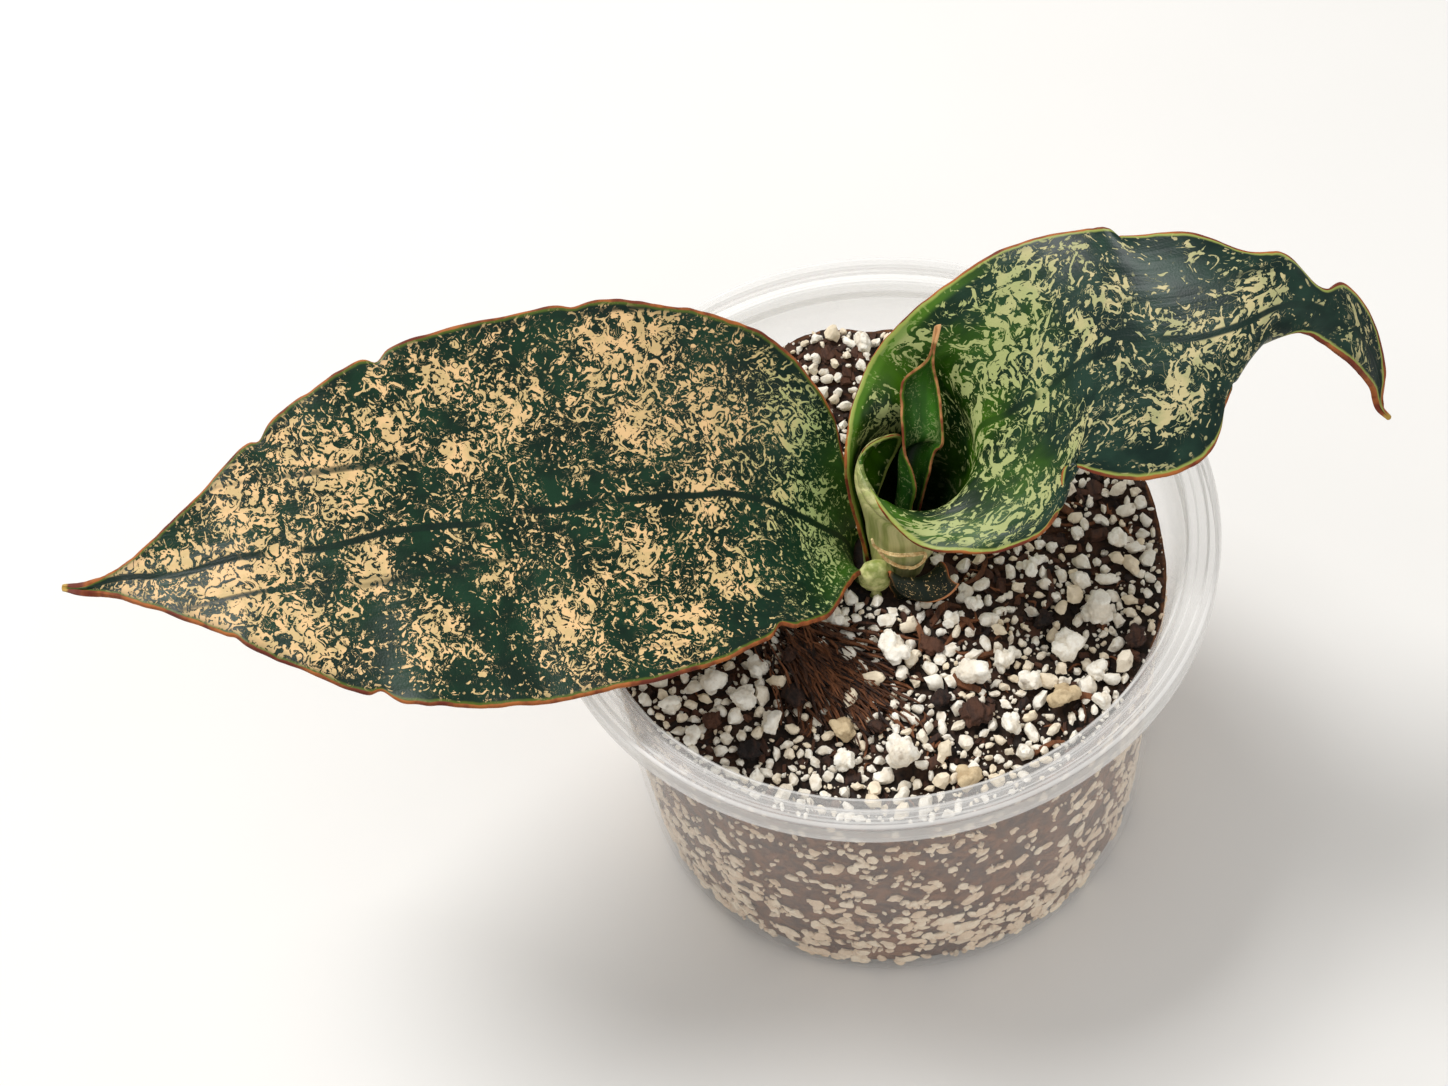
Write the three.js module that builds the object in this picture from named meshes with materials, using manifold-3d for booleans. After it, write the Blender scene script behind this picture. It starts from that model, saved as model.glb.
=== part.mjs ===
// A young snake plant with two broad mottled leaves, rooted in a clear plastic tub of gritty mix.
// Millimetres, +Z up, the tub stands on z = 0 with its axis on the Z axis.
import * as THREE from 'three';
import { mergeVertices } from 'three/addons/utils/BufferGeometryUtils.js';
import Module from 'manifold-3d';

const wasm = await Module();
wasm.setup();

// ---- driving dimensions ----
const potHeight = 78;
const rimRadius = 58.5;
const baseRadius = 47;
const wallThickness = 0.9;
const rimWidth = 6;
const skirtDepth = 4.6;
const soilDrop = 13; // from the rim down to the mean level of the mix
const soilRise = 3.2; // how much higher the mix stands at the back
const gap = 0.3; // clearance between pieces that touch
const lumpGap = 0.7; // clearance under the loose lumps, more because the mix is faceted
const plantScale = 1; // grows the whole plant about its crown
const leafThickness = 1.9;
const rollThickness = 1.3; // the leaf is thinner where it is rolled
const marginThickness = 0.7;
const crownPocketRadius = 10.2;
const grainScale = 1; // grows every lump lying on the mix
const turnSteps = 42;

const soilLevel = potHeight - soilDrop;
const crownHeight = soilLevel - 4; // height of the leaf bases
const wallTopRadius = rimRadius - rimWidth - 0.6;
const ledgeHeight = potHeight - skirtDepth;
const cornerRadius = 4.5;

// ---- shared helpers ----
const group = new THREE.Group();

function material(hex, roughness, metalness, opacity = 1) {
  return new THREE.MeshStandardMaterial({
    color: hex, roughness, metalness, opacity, transparent: opacity < 1,
  });
}

const clearPlastic = material(0xdcdde0, 0.32, 0, 0.45);
const pottingMix = material(0x33211a, 0.95, 0);
const leafGreen = material(0x1f3d2c, 0.45, 0);
const youngGreen = material(0x4f7a2a, 0.45, 0);
const oldGreen = material(0x2c3320, 0.6, 0);
const dryPaper = material(0xb48a5a, 0.8, 0);
const paleRhizome = material(0xb9bd72, 0.6, 0);
const whiteGrain = material(0xe6dfd0, 0.9, 0);
const tanGrain = material(0xcdb68c, 0.9, 0);
const barkBrown = material(0x3a2218, 0.92, 0);

function addPiece(name, geometry, paint) {
  const mesh = new THREE.Mesh(geometry, paint);
  mesh.name = name;
  group.add(mesh);
}

function indexed(points, triangles) {
  const geometry = new THREE.BufferGeometry();
  geometry.setAttribute('position', new THREE.Float32BufferAttribute(points.flat(), 3));
  geometry.setIndex(triangles);
  geometry.computeVertexNormals();
  return geometry;
}

function toSolid(geometry) {
  const bare = geometry.clone();
  bare.deleteAttribute('normal');
  bare.deleteAttribute('uv');
  const merged = mergeVertices(bare, 1e-4);
  return new wasm.Manifold(new wasm.Mesh({
    numProp: 3,
    vertProperties: new Float32Array(merged.attributes.position.array),
    triVerts: new Uint32Array(merged.index.array),
  }));
}

function fromSolid(solid) {
  const mesh = solid.getMesh();
  const geometry = new THREE.BufferGeometry();
  const points = [];
  for (let i = 0; i < mesh.vertProperties.length; i += mesh.numProp) {
    points.push(mesh.vertProperties[i], mesh.vertProperties[i + 1], mesh.vertProperties[i + 2]);
  }
  geometry.setAttribute('position', new THREE.Float32BufferAttribute(points, 3));
  geometry.setIndex(Array.from(mesh.triVerts));
  geometry.computeVertexNormals();
  return geometry;
}

// a repeatable number between 0 and 1 for a given seed
function chance(seed) {
  const value = Math.sin(seed * 127.1 + 311.7) * 43758.5453;
  return value - Math.floor(value);
}

// profile points are [radius, height], turned about the Z axis
function turned(profile, steps = turnSteps) {
  const outline = profile.map(([r, z]) => new THREE.Vector2(r, z));
  const geometry = new THREE.LatheGeometry(outline, steps);
  geometry.rotateX(Math.PI / 2);
  return geometry;
}

// ---- the tub ----
function arcPoints(cx, cz, radius, from, to, steps) {
  const points = [];
  for (let i = 0; i <= steps; i += 1) {
    const a = from + ((to - from) * i) / steps;
    points.push([cx + radius * Math.cos(a), cz + radius * Math.sin(a)]);
  }
  return points;
}

const innerCorner = cornerRadius - wallThickness;
const quarter = Math.PI / 2;
const potProfile = [
  [0, 0],
  ...arcPoints(baseRadius - cornerRadius, cornerRadius, cornerRadius, -quarter, 0, 4),
  [wallTopRadius - 0.4, ledgeHeight - 2],
  [wallTopRadius + 0.6, ledgeHeight - 0.6],
  [wallTopRadius + 1.7, potHeight - 1.6],
  [rimRadius - wallThickness, potHeight - 1.6],
  [rimRadius - wallThickness, ledgeHeight],
  [rimRadius, ledgeHeight],
  [rimRadius, potHeight - 0.7],
  [rimRadius - 0.7, potHeight],
  [rimRadius - 2.1, potHeight - 0.2],
  [rimRadius - 2.6, potHeight - 0.6],
  [rimRadius - rimWidth + 1.1, potHeight - 0.6],
  [rimRadius - rimWidth + 0.7, potHeight],
  [rimRadius - rimWidth, potHeight - 0.3],
  [wallTopRadius - wallThickness + 0.5, ledgeHeight - 0.4],
  [wallTopRadius - wallThickness - 0.5, ledgeHeight - 2.2],
  ...arcPoints(baseRadius - cornerRadius, cornerRadius, innerCorner, 0, -quarter, 4),
  [0, wallThickness],
];
addPiece('pot', turned(potProfile), clearPlastic);

// inner radius of the tub wall at a height inside it
function potInnerRadius(z) {
  const low = baseRadius - wallThickness;
  const high = wallTopRadius - wallThickness - 0.5;
  const t = (z - cornerRadius) / (ledgeHeight - 2.2 - cornerRadius);
  return low + (high - low) * Math.min(Math.max(t, 0), 1);
}

// ---- the potting mix ----
function soilTop(x, y) {
  const reach = potInnerRadius(soilLevel);
  const swell = 0.7 * Math.sin(x * 0.21 + 1.3) * Math.cos(y * 0.17 - 0.4) + 0.5 * Math.sin(x * 0.37 + y * 0.31);
  return soilLevel + soilRise * (y / reach) + swell;
}

const soilRadius = potInnerRadius(soilLevel - soilRise - 2) - gap;
const floorHeight = wallThickness + gap;
const soilCorner = arcPoints(baseRadius - cornerRadius, cornerRadius, innerCorner - gap, -quarter, 0, 4);
const soilProfile = [
  [0, floorHeight],
  ...soilCorner,
  [potInnerRadius(soilLevel * 0.5) - gap, soilLevel * 0.5],
  [soilRadius, soilLevel],
];
for (let i = 9; i >= 0; i -= 1) {
  soilProfile.push([(soilRadius * i) / 10, soilLevel + 0.001 * (10 - i)]);
}
const soilSkin = turned(soilProfile);
const soilPoints = soilSkin.attributes.position;
for (let i = 0; i < soilPoints.count; i += 1) {
  if (soilPoints.getZ(i) > soilLevel - 1) {
    soilPoints.setZ(i, soilTop(soilPoints.getX(i), soilPoints.getY(i)));
  }
}

const pocketFloor = crownHeight - 14 * plantScale;
const pocketRadius = crownPocketRadius * plantScale;
const pocket = turned([
  [0, pocketFloor],
  [pocketRadius - 3, pocketFloor],
  [pocketRadius, pocketFloor + 5],
  [pocketRadius, potHeight],
  [0, potHeight],
], 28);
pocket.translate(1.6 * plantScale, -0.6 * plantScale, 0);
const soilSolid = toSolid(soilSkin).subtract(toSolid(pocket));
addPiece('soil_mix', fromSolid(soilSolid), pottingMix);

// ---- the rhizome under the crown ----
const rhizomeTop = crownHeight - 1.2 * plantScale;
const knob = new THREE.SphereGeometry(1, 20, 12);
knob.scale(7.2 * plantScale, 7.0 * plantScale, 5.2 * plantScale);
knob.translate(1.2 * plantScale, 0.4 * plantScale, rhizomeTop - 5.2 * plantScale);
const neck = new THREE.SphereGeometry(1, 12, 8);
neck.scale(1.6 * plantScale, 1.3 * plantScale, 7 * plantScale);
neck.translate(-1.5 * plantScale, -5.2 * plantScale, rhizomeTop - 0.3 * plantScale);
const shoulder = new THREE.SphereGeometry(1, 14, 10);
shoulder.scale(2.8 * plantScale, 1.8 * plantScale, 4.2 * plantScale);
shoulder.translate(-2.0 * plantScale, -5.5 * plantScale, rhizomeTop + 7.4 * plantScale);
const crownBud = toSolid(shoulder).add(toSolid(neck));
addPiece('rhizome', fromSolid(toSolid(knob).add(crownBud)), paleRhizome);

// ---- leaves ----
// A leaf is a row of sections from its base to its tip. Each section is a curve across the blade,
// sampled at the same number of points, so the blade is one smooth sheet that is then thickened.
const acrossPoints = 12;

// the circle through three points, sampled from the first to the last by way of the middle one
function arcSection([first, middle, last]) {
  const a = new THREE.Vector3(...first);
  const m = new THREE.Vector3(...middle);
  const b = new THREE.Vector3(...last);
  const u = a.clone().sub(m);
  const v = b.clone().sub(m);
  const normal = u.clone().cross(v);
  const centre = v.clone().multiplyScalar(u.lengthSq()).sub(u.clone().multiplyScalar(v.lengthSq()));
  centre.cross(normal).divideScalar(2 * normal.lengthSq()).add(m);
  const e1 = a.clone().sub(centre);
  const radius = e1.length();
  e1.divideScalar(radius);
  const e2 = normal.clone().normalize().cross(e1);
  const angleOf = (p) => {
    const d = p.clone().sub(centre);
    const angle = Math.atan2(d.dot(e2), d.dot(e1));
    return angle < 0 ? angle + 2 * Math.PI : angle;
  };
  if (angleOf(m) > angleOf(b)) {
    e2.negate();
  }
  const sweep = angleOf(b);
  const row = [];
  for (let i = 0; i <= acrossPoints; i += 1) {
    const t = (sweep * i) / acrossPoints;
    const p = centre.clone().addScaledVector(e1, radius * Math.cos(t)).addScaledVector(e2, radius * Math.sin(t));
    row.push(p.toArray());
  }
  return row;
}

// a rolled section: radii at the outer edge, the middle and the inner edge, angles in degrees
function rollSection({ centre, radii, from, sweep, slope }) {
  const row = [];
  for (let i = 0; i <= acrossPoints; i += 1) {
    const s = i / acrossPoints;
    const angle = THREE.MathUtils.degToRad(from - sweep * s);
    const radius = radii[0] * (1 - s) * (1 - 2 * s) + 4 * radii[1] * s * (1 - s) + radii[2] * s * (2 * s - 1);
    const x = radius * Math.cos(angle);
    const y = radius * Math.sin(angle);
    row.push([centre[0] + x, centre[1] + y, centre[2] + slope[0] * x + slope[1] * y]);
  }
  return row;
}

// smooth curve through a list of values, t runs from 0 to the last index
function through(list, t) {
  const last = list.length - 1;
  const i = Math.min(Math.floor(t), last - 1);
  const f = t - i;
  const p1 = list[i];
  const p2 = list[i + 1];
  const p0 = i > 0 ? list[i - 1] : p1.map((v, k) => 2 * v - p2[k]);
  const p3 = i < last - 1 ? list[i + 2] : p2.map((v, k) => 2 * v - p1[k]);
  return p1.map((v, k) => 0.5 * (2 * v + (p2[k] - p0[k]) * f
    + (2 * p0[k] - 5 * v + 4 * p2[k] - p3[k]) * f * f
    + (3 * v - p0[k] - 3 * p2[k] + p3[k]) * f * f * f));
}

function sheetPoint(sections, along, across) {
  const t = along * (sections.length - 1);
  const row = [];
  for (let k = 0; k <= acrossPoints; k += 1) {
    row.push(through(sections.map((section) => section[k]), t));
  }
  return new THREE.Vector3(...through(row, across * acrossPoints));
}

// thickness of the blade: thin at both margins and towards the tip
function bladeThickness(along, across, baseThickness, bladeMiddle) {
  const body = baseThickness + (bladeMiddle - baseThickness) * Math.min(along * 2.2, 1);
  const taper = 1 - 0.55 * Math.max(along - 0.75, 0) * 4;
  const bulge = Math.sqrt(Math.sin(Math.PI * Math.min(Math.max(across, 0), 1)));
  return plantScale * (marginThickness + (Math.max(body * taper, marginThickness) - marginThickness) * bulge);
}

function leafSolid(sections, alongSteps, acrossSteps, baseThickness, bladeMiddle) {
  const points = [];
  const sides = [1, -1];
  for (const side of sides) {
    for (let i = 0; i <= alongSteps; i += 1) {
      const along = i / alongSteps;
      for (let j = 0; j <= acrossSteps; j += 1) {
        const across = j / acrossSteps;
        const e = 0.004;
        const here = sheetPoint(sections, along, across);
        const ahead = sheetPoint(sections, Math.min(along + e, 1), across);
        const behind = sheetPoint(sections, Math.max(along - e, 0), across);
        const left = sheetPoint(sections, along, Math.max(across - e, 0));
        const right = sheetPoint(sections, along, Math.min(across + e, 1));
        const normal = ahead.sub(behind).cross(right.sub(left)).normalize();
        const half = bladeThickness(along, across, baseThickness, bladeMiddle) / 2;
        here.multiplyScalar(plantScale);
        here.z += crownHeight;
        here.addScaledVector(normal, side * half);
        points.push(here.toArray());
      }
    }
  }
  const triangles = [];
  const rowLength = acrossSteps + 1;
  const layer = rowLength * (alongSteps + 1);
  const quad = (a, b, c, d) => triangles.push(a, b, c, a, c, d);
  for (let i = 0; i < alongSteps; i += 1) {
    for (let j = 0; j < acrossSteps; j += 1) {
      const a = i * rowLength + j;
      quad(a, a + rowLength, a + rowLength + 1, a + 1);
      quad(layer + a, layer + a + 1, layer + a + rowLength + 1, layer + a + rowLength);
    }
    const low = i * rowLength;
    const high = low + acrossSteps;
    quad(low, layer + low, layer + low + rowLength, low + rowLength);
    quad(high, high + rowLength, layer + high + rowLength, layer + high);
  }
  for (let j = 0; j < acrossSteps; j += 1) {
    const end = alongSteps * rowLength + j;
    quad(j, j + 1, layer + j + 1, layer + j);
    quad(end, layer + end, layer + end + 1, end + 1);
  }
  return indexed(points, triangles);
}

// The points below are measured from the crown: x to the right, y to the back, z above the crown.
// each section of the left leaf: front margin, midrib, back margin
const leafLeftSections = [
  [[-3.0, -2.2, -1], [-4.4, 1.6, -1], [-0.4, 6.8, -1]],
  [[-3.9, -2.2, 6.5], [-5.4, 3.0, 5.5], [-0.6, 9.2, 7.5]],
  [[-5.4, -10.0, 13.5], [-7.6, 4.6, 11.5], [-3.4, 14.0, 17.5]],
  [[-9.7, -17.5, 17.8], [-11.5, 5.0, 16.4], [-5.0, 21.0, 25.5]],
  [[-18.0, -21.0, 21.6], [-19.4, 4.8, 21.6], [-13.4, 29.2, 36.0]],
  [[-31.4, -27.7, 25.7], [-32.6, 4.1, 27.0], [-28.8, 33.6, 42.7]],
  [[-46.8, -31.3, 27.9], [-47.6, 3.4, 31.0], [-45.5, 34.9, 46.1]],
  [[-67.3, -32.4, 29.9], [-70.9, 1.8, 35.3], [-72.9, 31.3, 47.4]],
  [[-83.8, -29.3, 31.9], [-86.9, -0.2, 37.4], [-89.2, 25.3, 46.7]],
  [[-99.7, -21.5, 34.6], [-101.0, -1.7, 38.2], [-102.1, 17.2, 44.5]],
  [[-112.9, -12.8, 36.4], [-113.6, -2.5, 38.0], [-114.3, 7.1, 41.5]],
  [[-124.7, -6.2, 36.6], [-124.6, -2.6, 36.9], [-124.6, 0.9, 38.3]],
  [[-131.8, -2.5, 36.0], [-131.9, -1.7, 35.5], [-131.8, -0.9, 36.2]],
  [[-136.2, -1.2, 35.6], [-136.4, -0.8, 35.2], [-136.2, -0.4, 35.7]],
];

// the right leaf is rolled into a funnel at its base
const leafRightRolls = [
  { centre: [2.2, 1.2, 0], radii: [4.4, 4.2, 4.0], from: 200, sweep: 325, slope: [0, 0] },
  { centre: [3.2, 1.8, 6], radii: [5.4, 5.0, 4.6], from: 196, sweep: 350, slope: [-0.05, 0.06] },
  { centre: [4.6, 2.6, 12], radii: [7.4, 6.5, 5.4], from: 184, sweep: 388, slope: [-0.12, 0.1] },
  { centre: [5.8, 3.4, 18], radii: [9.6, 8.2, 6.8], from: 174, sweep: 420, slope: [-0.2, 0.14] },
  { centre: [6.8, 4.0, 23.5], radii: [11.2, 9.6, 8.6], from: 166, sweep: 435, slope: [-0.28, 0.15] },
  { centre: [7.2, 4.2, 26], radii: [12.6, 10.6, 8.6], from: 142, sweep: 352, slope: [-0.26, 0.18] },
  { centre: [8.2, 4.8, 27.5], radii: [16.4, 10.4, 10.0], from: 120, sweep: 275, slope: [-0.16, 0.2] },
];
// and opens above it; each section: back margin, middle, front margin
const leafRightSections = [
  [[5.0, 24.5, 35.5], [19.5, 5.0, 30.0], [5.0, -9.5, 25.5]],
  [[12.5, 27.5, 41.5], [25.0, 6.0, 35.5], [15.0, -14.5, 27.0]],
  [[21.5, 29.5, 47.0], [31.0, 7.0, 41.0], [24.5, -15.0, 29.5]],
  [[31.0, 30.0, 51.5], [37.0, 8.0, 45.5], [29.5, -12.0, 33.0]],
  [[39.0, 29.0, 53.5], [41.5, 8.0, 48.5], [31.5, -6.5, 37.0]],
  [[43.5, 27.0, 56.0], [46.0, 7.5, 52.0], [39.5, -11.5, 38.5]],
  [[46.5, 24.5, 56.0], [51.0, 7.5, 54.0], [47.5, -14.0, 41.0]],
  [[57.5, 21.5, 58.0], [58.0, 6.5, 56.0], [54.5, -12.5, 45.0]],
  [[65.5, 16.0, 58.0], [63.5, 5.5, 57.0], [58.0, -5.5, 49.5]],
  [[71.5, 15.0, 57.5], [68.5, 6.0, 56.5], [63.0, 1.0, 51.5]],
  [[76.0, 9.5, 54.5], [74.0, 6.0, 54.0], [70.5, 3.0, 52.0]],
  [[80.5, 11.5, 52.0], [79.0, 5.0, 50.5], [75.5, 1.0, 50.0]],
  [[84.5, 7.5, 47.5], [82.5, 2.5, 46.5], [80.0, -1.5, 46.0]],
  [[86.0, 0.5, 41.5], [84.5, -0.5, 41.0], [83.0, -2.5, 41.0]],
  [[84.7, -3.5, 38.1], [84.2, -4.0, 37.7], [83.7, -4.3, 38.2]],
  [[86.2, -5.1, 35.7], [85.9, -5.4, 35.4], [85.6, -5.6, 35.7]],
];

// the youngest leaf stands inside the funnel; each section: left margin, midrib, right margin
const youngLeafSections = [
  [[3.2, 0.5, 4.0], [2.0, 3.0, 3.8], [4.7, 2.2, 4.0]],
  [[5.4, 1.4, 12.0], [3.4, 4.6, 11.6], [7.6, 3.8, 12.0]],
  [[7.2, 3.4, 19.4], [4.9, 6.9, 18.8], [10.0, 6.2, 19.4]],
  [[7.2, 6.7, 24.2], [5.9, 10.2, 23.4], [11.4, 8.0, 24.4]],
  [[6.4, 9.2, 28.0], [10.2, 11.0, 26.0], [13.0, 7.6, 28.2]],
  [[7.2, 13.8, 32.0], [10.8, 14.8, 30.8], [13.2, 12.0, 32.4]],
  [[7.9, 16.6, 35.0], [11.0, 17.0, 34.2], [13.0, 15.0, 36.0]],
  [[12.0, 17.0, 40.0], [12.7, 17.4, 39.8], [13.0, 16.7, 40.2]],
  [[14.0, 20.2, 44.6], [14.6, 20.6, 44.4], [15.0, 20.2, 44.8]],
];

// the stub of an old leaf flops forward over the mix; each section: left edge, middle, right edge
const oldLeafSections = [
  [[1.8, -5.2, 0.5], [4.6, -6.0, 0.5], [8.4, -3.8, 0.5]],
  [[1.2, -5.2, 7.5], [4.8, -6.6, 7.0], [9.6, -4.3, 7.5]],
  [[0.9, -5.2, 10.6], [4.8, -7.2, 9.9], [10.4, -5.0, 10.6]],
  [[1.9, -6.9, 9.8], [5.9, -9.2, 9.0], [11.2, -7.6, 10.0]],
  [[3.4, -8.4, 8.2], [7.2, -10.6, 7.6], [12.8, -8.8, 9.2]],
];

const rolledPart = leafRightRolls.map(rollSection);
const leafRightAll = [...rolledPart, ...leafRightSections.map(arcSection)];
addPiece('leaf_left', leafSolid(leafLeftSections.map(arcSection), 30, 12, rollThickness, leafThickness), leafGreen);
addPiece('leaf_right', leafSolid(leafRightAll, 40, 24, rollThickness, leafThickness), leafGreen);
addPiece('young_leaf', leafSolid(youngLeafSections.map(arcSection), 16, 8, 0.9, 0.9), youngGreen);
addPiece('old_leaf_stub', leafSolid(oldLeafSections.map(arcSection), 6, 8, 1.0, 1.0), oldGreen);

// ---- dry sheath strips curling round the crown ----
function stripSolid(path, width, thickness) {
  const curve = new THREE.CatmullRomCurve3(path.map(([x, y, z]) => new THREE.Vector3(
    x * plantScale,
    y * plantScale,
    z * plantScale + crownHeight,
  )));
  const outline = new THREE.Shape();
  const sides = 8;
  for (let i = 0; i < sides; i += 1) {
    const a = (i / sides) * 2 * Math.PI;
    outline[i === 0 ? 'moveTo' : 'lineTo'](
      0.5 * thickness * plantScale * Math.cos(a),
      0.5 * width * plantScale * Math.sin(a),
    );
  }
  outline.closePath();
  const strip = new THREE.ExtrudeGeometry(outline, { steps: 16, extrudePath: curve, bevelEnabled: false });
  strip.deleteAttribute('normal');
  strip.deleteAttribute('uv');
  return mergeVertices(strip, 1e-4);
}

const upperStrip = [
  [-1.5, -3.0, 18.9], [-1.1, -3.3, 15.4], [0.6, -4.6, 15.6], [2.4, -5.7, 16.4],
  [4.2, -6.8, 19.0], [5.5, -7.1, 19.0], [6.0, -6.6, 16.9], [4.8, -6.1, 15.0],
];
const lowerStrip = [[1.6, -5.0, 13.8], [2.4, -5.4, 13.0], [3.4, -5.5, 11.8], [4.5, -5.6, 12.0]];
addPiece('dry_sheath_upper', stripSolid(upperStrip, 1.3, 0.6), dryPaper);
addPiece('dry_sheath_lower', stripSolid(lowerStrip, 1.1, 0.6), dryPaper);

// ---- loose lumps lying on the mix ----
// [x, y, half width] where the tub is at its drawn size; x and y follow the inner radius
const lumpLayoutRadius = 50;
const whiteLumps = [
  [12.5, -24, 3.4], [29.5, -21.5, 4.0], [35.5, -15.2, 3.4], [18.4, -22.6, 2.5], [-1.5, -38, 3.9],
  [-31.5, -18.5, 3.0], [-27, -23, 2.9], [-22.5, -28, 2.9], [22, -27, 2.5], [0, -17.5, 3.5],
  [17.5, -34.5, 2.2], [-23.5, -16.5, 2.5], [-9, -9.5, 2.3], [34, -8.5, 2.2], [15, -11, 2.0],
  [-36.5, -28, 2.2], [-39.5, -21.5, 2.5], [33.5, -26.6, 2.2], [26, -5.5, 2.1], [33, -33, 2.1],
  [10.5, -13.2, 1.9], [-11.5, -36.5, 2.3], [4, 45, 2.6], [9.5, 41.5, 2.3], [41.5, -2, 2.2],
];
const tanLumps = [[27, -31, 3.2], [-11, -30.5, 2.6], [9, -43.5, 2.6]];
const barkChips = [
  [-18.5, -23, 3.2], [12, -31.5, 3.7], [-32.5, -25.2, 2.3], [6.5, -27.5, 2.2], [-17.5, -15.5, 2.7],
  [6.5, -16.8, 2.7], [26.5, -14.5, 2.3], [41, -21.5, 2.7], [-2.5, 44, 2.7], [-27, -32, 2.5], [-5.2, -31, 1.9],
];

function lumpSolid([layoutX, layoutY, halfWidth], seed, squash, roughness) {
  const spread = (potInnerRadius(soilLevel) - gap) / lumpLayoutRadius;
  const ball = new THREE.IcosahedronGeometry(1, 1);
  ball.deleteAttribute('normal');
  ball.deleteAttribute('uv');
  const lump = mergeVertices(ball, 1e-4);
  const points = lump.attributes.position;
  for (let i = 0; i < points.count; i += 1) {
    const swell = 1 - roughness * chance(seed * 53 + i);
    points.setXYZ(i, points.getX(i) * swell, points.getY(i) * swell, points.getZ(i) * swell);
  }
  const half = halfWidth * grainScale;
  lump.scale(half, half * (0.7 + 0.3 * chance(seed)), half * squash);
  lump.rotateZ(Math.PI * chance(seed + 0.5));
  const x = layoutX * spread;
  const y = layoutY * spread;
  let rest = -Infinity;
  for (let i = 0; i < points.count; i += 1) {
    rest = Math.max(rest, soilTop(x + points.getX(i), y + points.getY(i)) - points.getZ(i));
  }
  lump.translate(x, y, rest + lumpGap);
  return lump;
}

function addLumps(label, layout, squash, roughness, paint) {
  layout.forEach((place, i) => {
    const name = `${label}_${String(i + 1).padStart(2, '0')}`;
    addPiece(name, lumpSolid(place, i + 1 + label.length * 40, squash, roughness), paint);
  });
}
addLumps('perlite', whiteLumps, 0.85, 0.28, whiteGrain);
addLumps('pumice', tanLumps, 0.75, 0.25, tanGrain);
addLumps('bark_chip', barkChips, 0.55, 0.4, barkBrown);

export default group;
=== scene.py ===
import math
import random

import bpy
import numpy as np
from mathutils import Euler, Matrix, Vector, noise


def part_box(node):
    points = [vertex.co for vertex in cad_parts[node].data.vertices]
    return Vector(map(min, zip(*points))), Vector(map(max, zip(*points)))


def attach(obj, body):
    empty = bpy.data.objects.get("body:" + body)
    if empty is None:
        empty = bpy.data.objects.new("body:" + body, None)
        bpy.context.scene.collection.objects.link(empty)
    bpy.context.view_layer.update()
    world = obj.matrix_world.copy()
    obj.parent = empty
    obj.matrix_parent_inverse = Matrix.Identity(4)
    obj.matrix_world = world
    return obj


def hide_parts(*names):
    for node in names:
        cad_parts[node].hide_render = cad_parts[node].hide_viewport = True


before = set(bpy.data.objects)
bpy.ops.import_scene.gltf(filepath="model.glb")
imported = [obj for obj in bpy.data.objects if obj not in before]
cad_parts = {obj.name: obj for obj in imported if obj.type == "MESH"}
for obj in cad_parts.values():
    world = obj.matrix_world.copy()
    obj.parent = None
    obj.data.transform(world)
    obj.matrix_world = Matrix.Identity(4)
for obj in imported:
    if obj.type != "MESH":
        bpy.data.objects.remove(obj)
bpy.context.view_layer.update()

mm = 0.001
scene = bpy.context.scene
scene.view_settings.view_transform = "Standard"


def deselectAll():
    if bpy.context.object and bpy.context.object.mode != "OBJECT":
        bpy.ops.object.mode_set(mode="OBJECT")
    bpy.ops.object.select_all(action="DESELECT")


def makeActive(piece):
    deselectAll()
    piece.select_set(True)
    bpy.context.view_layer.objects.active = piece


def applyModifiers(piece):
    makeActive(piece)
    for modifier in list(piece.modifiers):
        bpy.ops.object.modifier_apply(modifier=modifier.name)


def settle(piece, name, nodes=(), smooth=True):  # names a piece and ties it to the frame
    piece.name = name
    piece.data.name = name
    makeActive(piece)
    bpy.ops.object.transform_apply(location=True, rotation=True, scale=True)
    if smooth:
        bpy.ops.object.shade_smooth()
    if nodes:
        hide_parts(*nodes)
    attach(piece, "root")


def setMaterial(piece, material):
    piece.data.materials.clear()
    piece.data.materials.append(material)


def floatAttribute(mesh, name, values):
    layer = mesh.attributes.new(name=name, type="FLOAT", domain="POINT")
    layer.data.foreach_set("value", np.asarray(values, dtype=np.float32))


def addNode(tree, kind, inputs=None, **settings):  # a socket given as an input value is linked
    node = tree.nodes.new(kind)
    for key, value in settings.items():
        setattr(node, key, value)
    for key, value in (inputs or {}).items():
        if isinstance(value, bpy.types.NodeSocket):
            tree.links.new(value, node.inputs[key])
        else:
            node.inputs[key].default_value = value
    return node


def maths(tree, operation, a, b=0.0, c=0.0, clamp=False):
    return addNode(tree, "ShaderNodeMath", {0: a, 1: b, 2: c}, operation=operation,
                   use_clamp=clamp).outputs[0]


def times(tree, a, b):
    return maths(tree, "MULTIPLY", a, b)


def timesPlus(tree, a, b, c):
    return maths(tree, "MULTIPLY_ADD", a, b, c)


def inverse(tree, a):  # one less the value
    return maths(tree, "SUBTRACT", 1.0, a)


def blendColours(tree, factor, a, b, mode="MIX"):
    node = addNode(tree, "ShaderNodeMix", data_type="RGBA", blend_type=mode)
    for index, value in ((0, factor), (6, a), (7, b)):
        if isinstance(value, bpy.types.NodeSocket):
            tree.links.new(value, node.inputs[index])
        else:
            node.inputs[index].default_value = value
    return node.outputs[2]


def band(tree, value, low, high):  # 0 below low, 1 above high, smooth between
    node = addNode(tree, "ShaderNodeMapRange", {"Value": value}, interpolation_type="SMOOTHSTEP")
    for name, edge in (("From Min", low), ("From Max", high)):
        if isinstance(edge, bpy.types.NodeSocket):
            tree.links.new(edge, node.inputs[name])
        else:
            node.inputs[name].default_value = edge
    return node.outputs["Result"]


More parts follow.
